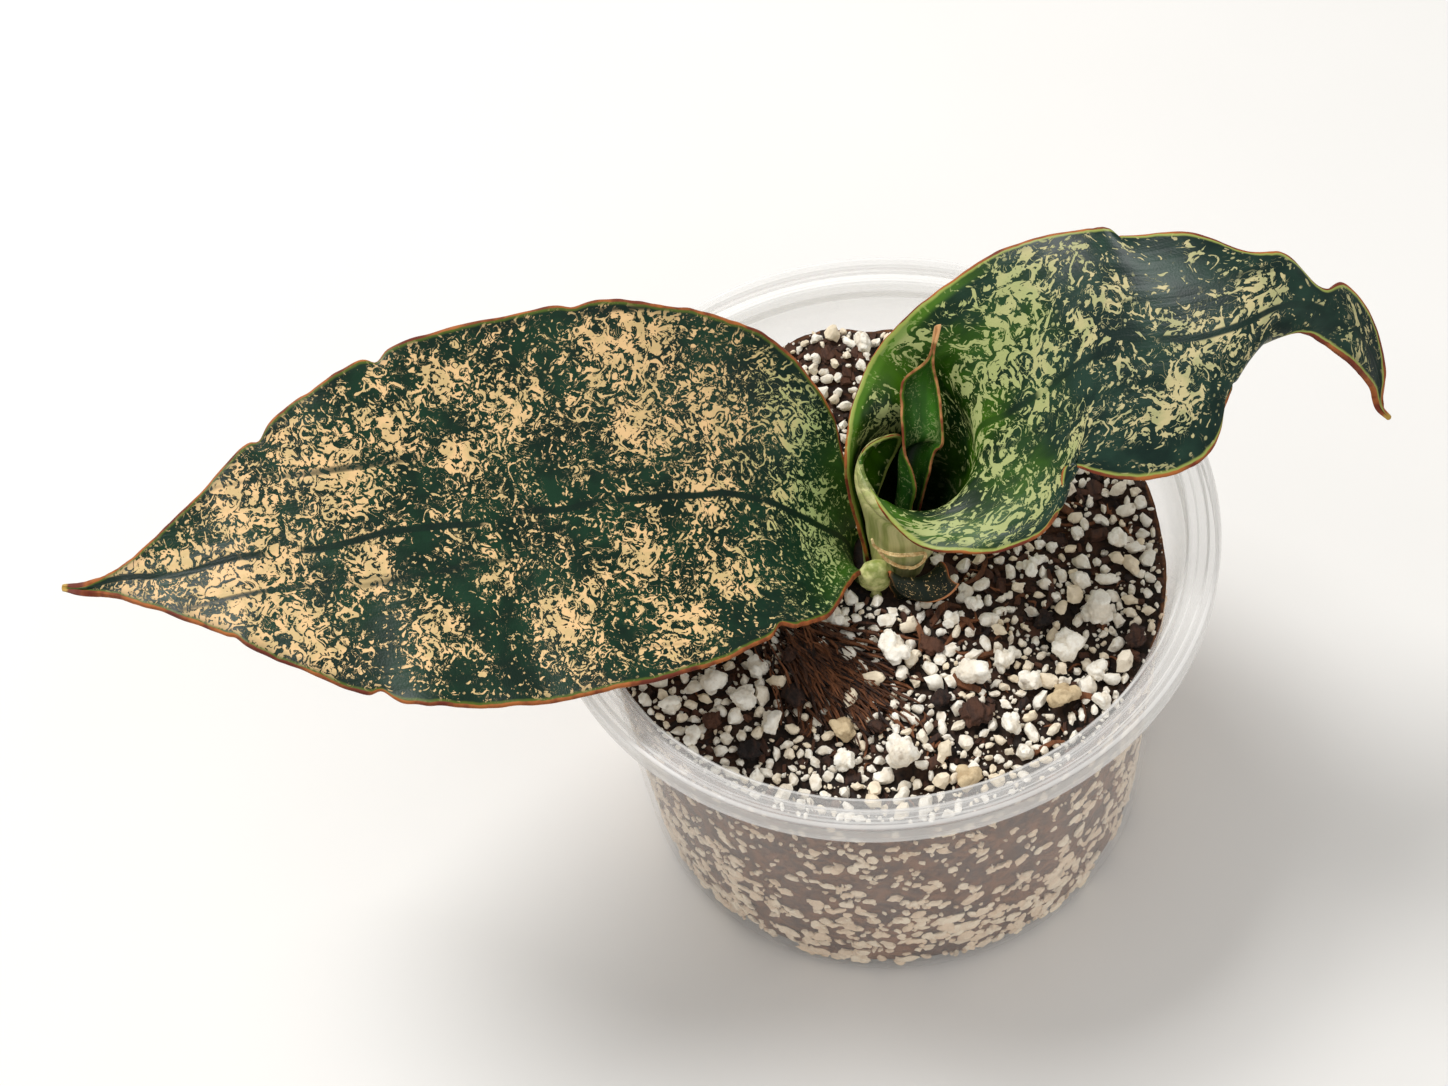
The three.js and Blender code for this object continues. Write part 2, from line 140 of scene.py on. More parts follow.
def noiseAt(tree, vector, scale, detail=2.0, roughness=0.5, distortion=0.0):
    node = addNode(tree, "ShaderNodeTexNoise", {"Vector": vector, "Scale": scale, "Detail": detail,
                                                "Roughness": roughness, "Distortion": distortion})
    return node.outputs["Fac"]


def stretched(tree, vector, scale, location=(0, 0, 0)):
    node = addNode(tree, "ShaderNodeMapping", {"Vector": vector, "Scale": scale, "Location": location})
    return node.outputs["Vector"]


def colour(red, green, blue):  # from 0-255 display values
    def linear(v):
        v = v / 255
        return v / 12.92 if v <= 0.04045 else ((v + 0.055) / 1.055) ** 2.4
    return (linear(red), linear(green), linear(blue), 1.0)


def newMaterial(name, **constants):
    material = bpy.data.materials.new(name)
    material.use_nodes = True
    tree = material.node_tree
    skin = tree.nodes["Principled BSDF"]
    for key, value in constants.items():
        skin.inputs[key].default_value = value
    return material, tree, skin


def newGroup(name, inputs, outputs):
    tree = bpy.data.node_groups.new(name, "ShaderNodeTree")
    for label, kind in inputs:
        tree.interface.new_socket(name=label, in_out="INPUT", socket_type=kind)
    for label, kind in outputs:
        tree.interface.new_socket(name=label, in_out="OUTPUT", socket_type=kind)
    return tree, tree.nodes.new("NodeGroupInput").outputs, tree.nodes.new("NodeGroupOutput").inputs


def useGroup(tree, group, inputs):
    node = tree.nodes.new("ShaderNodeGroup")
    node.node_tree = group
    for key, value in inputs.items():
        if isinstance(value, bpy.types.NodeSocket):
            tree.links.new(value, node.inputs[key])
        else:
            node.inputs[key].default_value = value
    return node.outputs


def attributeOf(tree, name):
    return addNode(tree, "ShaderNodeAttribute", attribute_name=name).outputs["Fac"]


def objectCoords(tree):
    return addNode(tree, "ShaderNodeTexCoord").outputs["Object"]


def addBump(tree, skin, height, distance, strength=1.0):
    bump = addNode(tree, "ShaderNodeBump", {"Height": height, "Distance": distance, "Strength": strength})
    tree.links.new(bump.outputs["Normal"], skin.inputs["Normal"])


viewSetup = {
    "target": (-26.2, 26.2, 40.0),  # millimetres
    "distance": 630.8,
    "elevation": 56.79,  # degrees
    "roll": -8.23,
    "lens": 85.0,
    "worldStrength": 0.55,
    "keyPower": 9.0,
    "fillPower": 2.0,
    "floorColour": colour(228, 226, 222),
}


def setUpView(setup):
    target = Vector(setup["target"]) * mm
    tilt = math.radians(setup["elevation"])
    back = Vector((0, -math.cos(tilt), math.sin(tilt)))
    cameraData = bpy.data.cameras.new("viewCamera")
    cameraData.lens = setup["lens"]
    cameraData.sensor_width = 36.0
    cameraData.clip_start = 0.01
    camera = bpy.data.objects.new("viewCamera", cameraData)
    scene.collection.objects.link(camera)
    roll = Matrix.Rotation(math.radians(setup["roll"]), 4, "Z")
    turn = Matrix.Rotation(math.radians(90) - tilt, 4, "X") @ roll
    camera.matrix_world = Matrix.Translation(target + back * setup["distance"] * mm) @ turn
    scene.camera = camera

    deselectAll()
    bpy.ops.mesh.primitive_plane_add(size=6.0, location=(0, 0, -0.0002))
    floor = bpy.context.object
    floor.name = "paleFloor"
    material, tree, skin = newMaterial("paleFloor", Roughness=0.6)
    speckle = noiseAt(tree, objectCoords(tree), 9.0, 3)
    shade = blendColours(tree, speckle, setup["floorColour"], colour(236, 234, 231))
    tree.links.new(shade, skin.inputs["Base Color"])
    setMaterial(floor, material)

    world = bpy.data.worlds.new("softWorld")
    world.use_nodes = True
    world.node_tree.nodes["Background"].inputs["Color"].default_value = (1.0, 0.995, 0.98, 1)
    world.node_tree.nodes["Background"].inputs["Strength"].default_value = setup["worldStrength"]
    scene.world = world
    for name, place, size, power in (
        ("keyLight", (-0.4, 0.35, 1.0), 0.45, setup["keyPower"]),
        ("fillLight", (0.6, -0.5, 0.9), 0.9, setup["fillPower"]),
    ):
        lightData = bpy.data.lights.new(name, "AREA")
        lightData.shape = "DISK"
        lightData.size = size
        lightData.energy = power
        light = bpy.data.objects.new(name, lightData)
        light.location = place
        light.rotation_euler = (Vector((0, 0, 0.06)) - Vector(place)).to_track_quat("-Z", "Y").to_euler()
        scene.collection.objects.link(light)


setUpView(viewSetup)
print("camera, floor and light ready")


def makeGrain():  # soft colour variation and a fine height
    tree, given, result = newGroup("surfaceGrain",
                                   [("Vector", "NodeSocketVector"), ("Scale", "NodeSocketFloat")],
                                   [("Tone", "NodeSocketFloat"), ("Height", "NodeSocketFloat")])
    broad = noiseAt(tree, given["Vector"], given["Scale"], 3, 0.55)
    fine = noiseAt(tree, given["Vector"], times(tree, given["Scale"], 4.0), 4, 0.6)
    tree.links.new(timesPlus(tree, fine, 0.4, times(tree, broad, 0.6)), result["Tone"])
    tree.links.new(timesPlus(tree, broad, 0.5, times(tree, fine, 0.5)), result["Height"])
    return tree


def makeMottle():  # pale flecks, worms and dots that crowd together where the patch value is high
    tree, given, result = newGroup(
        "leafMottle",
        [("Vector", "NodeSocketVector"), ("Patch", "NodeSocketFloat"), ("Amount", "NodeSocketFloat"),
         ("Mark Scale", "NodeSocketFloat")],
        [("Mask", "NodeSocketFloat"), ("Veins", "NodeSocketFloat")])
    vector = given["Vector"]
    scale = given["Mark Scale"]
    ragged = noiseAt(tree, vector, 190.0, 3, 0.6)
    broad = noiseAt(tree, stretched(tree, vector, (0.5, 1.0, 1), (3.1, 0.7, 0)), 70.0, 2, 0.6)
    crowd = timesPlus(tree, given["Patch"], 0.62, timesPlus(tree, broad, 1.1, -0.46))
    crowd = maths(tree, "ADD", crowd, timesPlus(tree, ragged, 1.3, -0.65))
    crowd = maths(tree, "ADD", crowd, given["Amount"], clamp=True)
    marks = noiseAt(tree, vector, scale, 2, 0.58, 2.2)
    cut = timesPlus(tree, crowd, -0.21, 0.645)
    blotch = band(tree, marks, cut, maths(tree, "ADD", cut, 0.02))
    worms = noiseAt(tree, vector, times(tree, scale, 0.9), 1, 0.5, 3.2)
    ridge = maths(tree, "ABSOLUTE", maths(tree, "SUBTRACT", worms, 0.5))
    worm = inverse(tree, band(tree, ridge, 0.010, 0.020))
    broken = band(tree, noiseAt(tree, vector, times(tree, scale, 1.7), 1), 0.47, 0.53)
    worm = times(tree, worm, times(tree, broken, band(tree, crowd, 0.12, 0.4)))
    dots = addNode(tree, "ShaderNodeTexVoronoi", {"Vector": vector, "Scale": times(tree, scale, 1.9)})
    dot = inverse(tree, band(tree, dots.outputs["Distance"], 0.15, 0.24))
    dot = times(tree, dot, band(tree, noiseAt(tree, vector, scale, 2), 0.47, 0.56))
    mask = maths(tree, "MAXIMUM", blotch, maths(tree, "MAXIMUM", worm, times(tree, dot, 0.8)))
    holes = noiseAt(tree, vector, times(tree, scale, 2.6), 1, 0.5, 1.0)
    mask = times(tree, mask, inverse(tree, band(tree, holes, 0.66, 0.70)))
    streaks = noiseAt(tree, stretched(tree, vector, (1.0, 0.04, 1), (0, 2.0, 0)), 190.0, 2, 0.5)
    veins = band(tree, streaks, 0.63, 0.70)
    across = addNode(tree, "ShaderNodeSeparateXYZ", {"Vector": vector}).outputs["X"]
    wander = timesPlus(tree, noiseAt(tree, stretched(tree, vector, (0, 1, 0)), 60.0, 1), 0.004, -0.002)
    rib = maths(tree, "ABSOLUTE", maths(tree, "ADD", across, wander))
    rib = inverse(tree, band(tree, rib, 0.0004, 0.0008))
    rib = times(tree, rib,
                band(tree, noiseAt(tree, stretched(tree, vector, (0, 1, 0)), 75.0, 2), 0.36, 0.46))
    veins = maths(tree, "MAXIMUM", veins, rib)
    tree.links.new(times(tree, mask, inverse(tree, veins)), result["Mask"])
    tree.links.new(veins, result["Veins"])
    return tree


grainGroup = makeGrain()
mottleGroup = makeMottle()


# A leaf is a row of sections from base to tip. Each section is a curve across the blade with the
# same number of points. Points are in millimetres from the crown: x right, y back, z up.
acrossPoints = 12
crownHeight = 61.0
leafThickness = 1.9
rollThickness = 1.3


def arcSection(section):  # the circle through three points
    a, m, b = (np.array(p, float) for p in section)
    u, v = a - m, b - m
    normal = np.cross(u, v)
    centre = m + np.cross(u.dot(u) * v - v.dot(v) * u, normal) / (2 * normal.dot(normal))
    radius = np.linalg.norm(a - centre)
    e1 = (a - centre) / radius
    e2 = np.cross(normal / np.linalg.norm(normal), e1)

    def angleOf(p):
        return math.atan2((p - centre).dot(e2), (p - centre).dot(e1)) % (2 * math.pi)

    if angleOf(m) > angleOf(b):
        e2 = -e2
    t = np.linspace(0, angleOf(b), acrossPoints + 1)[:, None]
    return centre + radius * (np.cos(t) * e1 + np.sin(t) * e2)


# radii at the outer edge, the middle and the inner edge
def rollSection(centre, radii, start, sweep, slope):
    s = np.linspace(0, 1, acrossPoints + 1)
    angle = np.radians(start - sweep * s)
    radius = radii[0] * (1 - s) * (1 - 2 * s) + 4 * radii[1] * s * (1 - s) + radii[2] * s * (2 * s - 1)
    x, y = radius * np.cos(angle), radius * np.sin(angle)
    return np.stack([centre[0] + x, centre[1] + y, centre[2] + slope[0] * x + slope[1] * y], 1)


def through(rows, t):  # smooth curve through rows, t from 0 to the last index
    t = np.clip(t, 0, len(rows) - 1 - 1e-9)
    padded = np.concatenate([[2 * rows[0] - rows[1]], rows, [2 * rows[-1] - rows[-2]]])
    i = t.astype(int)
    f = (t - i).reshape((-1,) + (1,) * (rows.ndim - 1))
    p0, p1, p2, p3 = padded[i], padded[i + 1], padded[i + 2], padded[i + 3]
    return 0.5 * (2 * p1 + (p2 - p0) * f + (2 * p0 - 5 * p1 + 4 * p2 - p3) * f * f
                  + (3 * p1 - p0 - 3 * p2 + p3) * f ** 3)


def sheetGrid(sections, along, across):  # points at every along and across value
    rows = through(np.array(sections), along * (len(sections) - 1))
    columns = through(np.swapaxes(rows, 0, 1), across * acrossPoints)
    return np.swapaxes(columns, 0, 1)


def leafPiece(sections, shape):
    alongCount, acrossCount = shape["along"], shape["across"]
    deselectAll()
    bpy.ops.mesh.primitive_grid_add(x_subdivisions=acrossCount, y_subdivisions=alongCount, size=1.0)
    piece = bpy.context.object
    mesh = piece.data
    flat = np.empty(len(mesh.vertices) * 3)
    mesh.vertices.foreach_get("co", flat)
    flat = flat.reshape(-1, 3)
    columns = np.rint((flat[:, 0] + 0.5) * acrossCount).astype(int)
    rows = np.rint((flat[:, 1] + 0.5) * alongCount).astype(int)
    even = np.linspace(0, 1, acrossCount + 1)
    across = 0.35 * even + 0.65 * (0.5 - 0.5 * np.cos(np.pi * even))  # closer together at the margins
    along = np.linspace(0, 1, alongCount + 1)
    grid = sheetGrid(sections, along, across)
    nudge = 1e-3
    lower, upper = np.maximum(along - nudge, 0), np.minimum(along + nudge, 1)
    ahead = sheetGrid(sections, upper, across) - sheetGrid(sections, lower, across)
    lower, upper = np.maximum(across - nudge, 0), np.minimum(across + nudge, 1)
    aside = sheetGrid(sections, along, upper) - sheetGrid(sections, along, lower)
    normal = np.cross(ahead, aside)
    normal /= np.maximum(np.linalg.norm(normal, axis=2, keepdims=True), 1e-9)
    inward = aside / np.maximum(np.linalg.norm(aside, axis=2, keepdims=True), 1e-9)

    stepAcross = np.linalg.norm(np.diff(grid, axis=1), axis=2)
    arc = np.concatenate([np.zeros((len(along), 1)), np.cumsum(stepAcross, axis=1)], 1)
    width = arc[:, -1:]
    fromMargin = np.minimum(arc, width - arc)
    middle = acrossCount // 2
    stepAlong = np.linalg.norm(np.diff(grid[:, middle], axis=0), axis=1)
    length = np.concatenate([[0], np.cumsum(stepAlong)])
    sheetU = arc - arc[:, middle:middle + 1]
    sheetV = np.repeat(length[:, None], acrossCount + 1, 1)

    patch = np.zeros(grid.shape[:2])
    for placeAlong, placeAcross, size in shape["patches"]:
        row = int(round(placeAlong * alongCount))
        gap = np.hypot(sheetU - placeAcross * width[row] / 2, sheetV - length[row])
        patch = np.maximum(patch, np.exp(-((gap / (size * 1.25)) ** 2) ** 1.5))

    # evens out the middle of the blade along its length and leaves the margins as drawn
    reach = shape["easing"]
    eased = grid
    for _ in range(3):
        padded = np.concatenate([eased[:1]] * reach + [eased] + [eased[-1:]] * reach)
        eased = sum(padded[k:k + len(along)] for k in range(2 * reach + 1)) / (2 * reach + 1)
    rolled = np.clip(1 - (along - shape["easeFrom"]) * 12, 0, 1)[:, None]
    keep = (np.exp(-fromMargin / 5) + np.clip(1 - 12 * (1 - along), 0, 1)[:, None] + rolled).clip(0, 1)
    grid = grid * keep[:, :, None] + eased * (1 - keep[:, :, None])

    relief = np.zeros(grid.shape[:2])
    edgeShift = np.zeros(grid.shape[:2])
    for i in range(len(along)):
        for j in range(acrossCount + 1):
            u, v = sheetU[i, j], sheetV[i, j]
            wave = noise.noise(Vector((u * 0.03, v * 0.09, shape["seed"])))
            groove = noise.noise(Vector((u * 0.45, v * 0.02, shape["seed"] + 9)))
            ruffle = noise.noise(Vector((v * 0.16, shape["seed"] + (0 if u < 0 else 5), 3.3)))
            nearEdge = math.exp(-fromMargin[i, j] / 3.0)
            relief[i, j] = shape["wave"] * wave + shape["groove"] * groove
            relief[i, j] += shape["ruffle"] * ruffle * nearEdge
            side = 20 if u < 0 else 40
            crimp = 0.6 * noise.noise(Vector((v * 0.16, side, shape["seed"])))
            crimp += 0.5 * noise.noise(Vector((v * 0.42, side + 5, shape["seed"])))
            crimp += 0.22 * noise.noise(Vector((v * 1.1, side + 9, 0)))
            edgeShift[i, j] = shape["crimp"] * nearEdge * crimp
    for side, place, depth, reach in shape["nicks"]:  # small bites out of a margin
        bite = depth * np.exp(-(((sheetV - place * length[-1]) / reach) ** 2)) * np.exp(-fromMargin / 2.5)
        edgeShift += np.where((sheetU < 0) == (side == 0), bite, 0)
    endFade = np.minimum(1, np.minimum(along * 8, (1 - along) * 12))[:, None]
    grid = grid + normal * (relief * endFade)[:, :, None]
    grid = grid + inward * (np.where(sheetU < 0, edgeShift, -edgeShift) * endFade)[:, :, None]
    grid[:, :, 2] += crownHeight

    place = grid[rows, columns] * mm
    mesh.vertices.foreach_set("co", place.ravel())
    body = rollThickness if shape["rolled"] else shape["thickness"]
    thickness = body + (shape["thickness"] - body) * np.minimum(along * 2.2, 1)
    thickness = thickness * (1 - 2.2 * np.maximum(along - 0.75, 0))
    atTip = np.clip((along - 0.96) / 0.04, 0, 1)[:, None]
    bulge = np.sqrt(np.clip(np.sin(np.pi * across), 0, 1))
    edge = shape["margin"]
    full = edge + (np.maximum(thickness, edge)[:, None] - edge) * bulge[None]
    full = full * (1 - 0.55 * atTip)
    group = piece.vertex_groups.new(name="bladeThickness")
    for index, (i, j) in enumerate(zip(rows, columns)):
        group.add([index], float(full[i, j] / shape["thickness"]), "REPLACE")
    floatAttribute(mesh, "fromMargin", (fromMargin * mm)[rows, columns])
    floatAttribute(mesh, "alongLeaf", along[rows])
    floatAttribute(mesh, "acrossLeaf", (sheetU / np.maximum(width, 1e-6) * 2)[rows, columns])
    floatAttribute(mesh, "palePatch", patch[rows, columns])
    uv = mesh.uv_layers[0].data
    loopVerts = np.empty(len(mesh.loops), int)
    mesh.loops.foreach_get("vertex_index", loopVerts)
    sheet = np.stack([sheetU[rows, columns], sheetV[rows, columns]], 1)[loopVerts] * mm
    uv.foreach_set("uv", sheet.ravel())
    mesh.update()

    solidify = piece.modifiers.new("bladeThickness", "SOLIDIFY")
    solidify.thickness = shape["thickness"] * mm
    solidify.offset = 0.0
    solidify.vertex_group = "bladeThickness"
    subdivision = piece.modifiers.new("roundMargins", "SUBSURF")
    subdivision.levels = subdivision.render_levels = 1
    sheetCount = len(mesh.vertices)
    makeActive(piece)
    bpy.ops.object.modifier_apply(modifier=solidify.name)
    # solidify keeps the first face in front and adds the second face after it
    firstFace = np.arange(len(piece.data.vertices)) < sheetCount
    floatAttribute(piece.data, "firstFace", firstFace)
    bpy.ops.object.modifier_apply(modifier=subdivision.name)
    bpy.ops.object.mode_set(mode="EDIT")
    bpy.ops.mesh.select_all(action="SELECT")
    bpy.ops.mesh.normals_make_consistent(inside=False)
    bpy.ops.object.mode_set(mode="OBJECT")
    piece.vertex_groups.clear()
    return piece


def leafSkin(name, look):
    material, tree, skin = newMaterial(name, **{"Roughness": 0.42, "Specular IOR Level": look["shine"]})
    sheet = addNode(tree, "ShaderNodeUVMap").outputs["UV"]
    along = attributeOf(tree, "alongLeaf")
    across = attributeOf(tree, "acrossLeaf")
    margin = times(tree, attributeOf(tree, "fromMargin"), 1000.0)  # millimetres
    mottle = useGroup(tree, mottleGroup, {"Vector": sheet, "Patch": attributeOf(tree, "palePatch"),
                                          "Amount": look["amount"], "Mark Scale": look["markScale"]})
    tone = noiseAt(tree, sheet, 120.0, 3, 0.6)
    ground = blendColours(tree, band(tree, tone, 0.35, 0.68), look["deep"], look["mid"])
    freshTone = band(tree, noiseAt(tree, stretched(tree, sheet, (1, 0.5, 1)), 85.0, 3, 0.6), 0.38, 0.62)
    fresh = blendColours(tree, freshTone, look["freshDeep"], look["freshMid"])
    wavy = timesPlus(tree, tone, 0.12, maths(tree, "ADD", along, -0.06))
    atBase = inverse(tree, band(tree, wavy, look["baseFrom"], look["baseTo"]))
    ground = blendColours(tree, atBase, ground, fresh)
    markTone = noiseAt(tree, sheet, 240.0, 3, 0.6)
    pale = blendColours(tree, band(tree, markTone, 0.38, 0.62), look["pale"], look["paleWarm"])
    paleBase = inverse(tree, band(tree, wavy, look["paleFrom"], look["paleTo"]))
    pale = blendColours(tree, paleBase, pale, look["paleFresh"])
    fading = timesPlus(tree, band(tree, wavy, look["marksEnd"] - 0.05, look["marksEnd"]), -0.85, 1.0)
    marks = times(tree, mottle["Mask"], times(tree, fading, look["markStrength"]))
    shown = blendColours(tree, marks, ground, pale)
    shown = blendColours(tree, times(tree, mottle["Veins"], look["veinStrength"]), shown, look["vein"])
    shown = blendColours(tree, times(tree, inverse(tree, band(tree, margin, 0.3, 3.0)), 0.45), shown,
                         look["vein"])
    outside = attributeOf(tree, "firstFace")
    if look["outsideIsSecond"]:
        outside = inverse(tree, outside)
    streak = noiseAt(tree, stretched(tree, sheet, (1, 0.06, 1)), 620.0, 3, 0.6)
    sheath = blendColours(tree, band(tree, streak, 0.28, 0.66), look["sheathDeep"], look["sheathPale"])
    atSheath = inverse(tree, band(tree, wavy, look["sheathTo"] - 0.08, look["sheathTo"]))
    shown = blendColours(tree, times(tree, atSheath, outside), shown, sheath)
    # painted shade: the inner face of the hollow leaf base is darkened nearly to black, where shadow fills
    # the hollow
    paintedHollowShade = inverse(tree, band(tree, along, look["paintedHollowShadeFrom"], look["paintedHollowShadeTo"]))
    paintedHollowShade = times(tree, paintedHollowShade, inverse(tree, outside))
    paintedHollowShade = times(tree, paintedHollowShade, timesPlus(tree, band(tree, across, 0.1, 0.5), -0.7, 1.0))
    shown = blendColours(tree, times(tree, paintedHollowShade, 0.94), shown, look["paintedHollowShade"])
    # a broad fresh border down one side of the base
    border = inverse(tree, band(tree, timesPlus(tree, tone, 1.6, margin), 2.6, look["borderWidth"]))
    border = times(tree, border, inverse(tree, band(tree, across, -0.25, 0.1)))
    border = times(tree, border, inverse(tree, band(tree, along, 0.36, 0.44)))
    shown = blendColours(tree, times(tree, border, look["borderStrength"]), shown, look["border"])
    ragged = timesPlus(tree, noiseAt(tree, sheet, 500.0, 2), 0.5, maths(tree, "ADD", margin, -0.25))
    inner = inverse(tree, band(tree, ragged, look["rimWidth"] + 0.25, look["rimWidth"] + 0.75))
    shown = blendColours(tree, times(tree, inner, 0.8), shown, look["innerRim"])
    redRim = timesPlus(tree, noiseAt(tree, sheet, 55.0, 2), 0.5, look["rimWidth"] - 0.25)
    redRim = times(tree, redRim, band(tree, along, look["rimFrom"], look["rimFrom"] + 0.12))
    outer = inverse(tree, band(tree, ragged, redRim, maths(tree, "ADD", redRim, 0.22)))
    rimTone = blendColours(tree, band(tree, noiseAt(tree, sheet, 160.0, 3, 0.6), 0.40, 0.62), look["rim"],
                           look["rimLight"])
    shown = blendColours(tree, outer, shown, rimTone)
    shown = blendColours(tree, band(tree, along, look["tipFrom"], look["tipFrom"] + 0.012), shown,
                         look["tip"])
    tree.links.new(shown, skin.inputs["Base Color"])
    roughness = timesPlus(tree, mottle["Mask"], 0.08, timesPlus(tree, outer, 0.2, look["gloss"]))
    tree.links.new(roughness, skin.inputs["Roughness"])
    lines = noiseAt(tree, stretched(tree, sheet, (1.0, 0.08, 1)), 900.0, 2, 0.5)
    pores = noiseAt(tree, sheet, 2600.0, 1)
    height = timesPlus(tree, pores, 0.35, timesPlus(tree, mottle["Mask"], 0.25, lines))
    addBump(tree, skin, height, 0.00010, 0.7)
    return material


leafLeftSections = [
    ((-3.0, -2.2, -1), (-4.4, 1.6, -1), (-0.4, 6.8, -1)),
    ((-3.3, -3.5, 8.0), (-5.4, 3.0, 5.5), (-0.6, 9.2, 7.5)),
    ((-6.2, -8.6, 13.5), (-7.6, 4.6, 11.5), (-3.4, 14.0, 17.5)),
    ((-10.8, -17.0, 17.8), (-11.5, 5.0, 16.4), (-5.0, 21.0, 25.5)),
    ((-18.0, -21.0, 21.6), (-19.4, 4.8, 21.6), (-13.4, 29.2, 36.0)),
    ((-31.4, -27.7, 25.7), (-32.6, 4.1, 27.0), (-28.8, 33.6, 42.7)),
    ((-46.8, -31.3, 27.9), (-47.6, 3.4, 31.0), (-45.5, 34.9, 46.1)),
    ((-67.3, -32.4, 29.9), (-70.9, 1.8, 35.3), (-72.9, 31.3, 47.4)),
    ((-83.8, -29.3, 31.9), (-86.9, -0.2, 37.4), (-89.2, 25.3, 46.7)),
    ((-99.7, -21.5, 34.6), (-101.0, -1.7, 38.2), (-102.1, 17.2, 44.5)),
    ((-112.9, -12.8, 36.4), (-113.6, -2.5, 38.0), (-114.3, 7.1, 41.5)),
    ((-124.7, -6.2, 36.6), (-124.6, -2.6, 36.9), (-124.6, 0.9, 38.3)),
    ((-131.8, -2.5, 36.0), (-131.9, -1.7, 35.5), (-131.8, -0.9, 36.2)),
    ((-136.2, -1.2, 35.6), (-136.4, -0.8, 35.2), (-136.2, -0.4, 35.7)),
]
leafRightRolls = [  # centre, radii, start angle, sweep, slope
    ((2.2, 1.2, 0), (4.4, 4.2, 4.0), 200, 325, (0, 0)),
    ((3.2, 1.8, 6), (5.4, 5.0, 4.6), 196, 350, (-0.05, 0.06)),
    ((4.6, 2.6, 12), (7.4, 6.5, 5.4), 184, 388, (-0.12, 0.1)),
    ((5.8, 3.4, 18), (9.6, 8.2, 6.8), 174, 420, (-0.2, 0.14)),
    ((6.8, 4.0, 23.5), (11.2, 9.6, 8.6), 166, 435, (-0.28, 0.15)),
    ((7.2, 4.2, 26), (12.6, 10.6, 8.6), 142, 352, (-0.26, 0.18)),
    ((8.2, 4.8, 27.5), (16.4, 10.4, 10.0), 120, 275, (-0.16, 0.2)),
]
leafRightSections = [
    ((5.0, 24.5, 35.5), (19.5, 5.0, 30.0), (5.0, -9.5, 25.5)),
    ((12.5, 27.5, 41.5), (25.0, 6.0, 35.5), (15.0, -14.5, 27.0)),
    ((21.5, 29.5, 47.0), (31.0, 7.0, 41.0), (24.5, -15.0, 29.5)),
    ((31.0, 30.0, 51.5), (37.0, 8.0, 45.5), (29.5, -12.0, 33.0)),
    ((39.0, 29.0, 53.5), (41.5, 8.0, 48.5), (31.5, -6.5, 37.0)),
    ((43.5, 27.0, 56.0), (46.0, 7.5, 52.0), (39.5, -11.5, 38.5)),
    ((46.5, 24.5, 56.0), (51.0, 7.5, 54.0), (47.5, -14.0, 41.0)),
    ((57.5, 21.5, 58.0), (58.0, 6.5, 56.0), (54.5, -12.5, 45.0)),
    ((65.5, 16.0, 58.0), (63.5, 5.5, 57.0), (58.0, -5.5, 49.5)),
    ((71.5, 15.0, 57.5), (68.5, 6.0, 56.5), (63.0, 1.0, 51.5)),
    ((76.0, 9.5, 54.5), (74.0, 6.0, 54.0), (70.5, 3.0, 52.0)),
    ((80.5, 11.5, 52.0), (79.0, 5.0, 50.5), (75.5, 1.0, 50.0)),
    ((84.5, 7.5, 47.5), (82.5, 2.5, 46.5), (80.0, -1.5, 46.0)),
    ((86.0, 0.5, 41.5), (84.5, -0.5, 41.0), (83.0, -2.5, 41.0)),
    ((84.7, -3.5, 38.1), (84.2, -4.0, 37.7), (83.7, -4.3, 38.2)),
    ((86.2, -5.1, 35.7), (85.9, -5.4, 35.4), (85.6, -5.6, 35.7)),
]
youngLeafSections = [
    ((3.2, 0.5, 4.0), (2.0, 3.0, 3.8), (4.7, 2.2, 4.0)),
    ((5.4, 1.4, 12.0), (3.4, 4.6, 11.6), (7.6, 3.8, 12.0)),
    ((7.2, 3.4, 19.4), (4.9, 6.9, 18.8), (10.0, 6.2, 19.4)),
    ((7.2, 6.7, 24.2), (5.9, 10.2, 23.4), (11.4, 8.0, 24.4)),
    ((6.4, 9.2, 28.0), (10.2, 11.0, 26.0), (13.0, 7.6, 28.2)),
    ((7.2, 13.8, 32.0), (10.8, 14.8, 30.8), (13.2, 12.0, 32.4)),
    ((7.9, 16.6, 35.0), (11.0, 17.0, 34.2), (13.0, 15.0, 36.0)),
    ((12.0, 17.0, 40.0), (12.7, 17.4, 39.8), (13.0, 16.7, 40.2)),
    ((14.0, 20.2, 44.6), (14.6, 20.6, 44.4), (15.0, 20.2, 44.8)),
]
oldLeafSections = [
    ((1.8, -5.2, 0.5), (4.6, -6.0, 0.5), (8.4, -3.8, 0.5)),
    ((1.2, -5.2, 7.5), (4.8, -6.6, 7.0), (9.6, -4.3, 7.5)),
    ((0.9, -5.2, 10.6), (4.8, -7.2, 9.9), (10.4, -5.0, 10.6)),
    ((1.9, -6.9, 9.8), (5.9, -9.2, 9.0), (11.2, -7.6, 10.0)),
    ((3.4, -8.4, 8.2), (7.2, -10.6, 7.6), (12.8, -8.8, 9.2)),
]

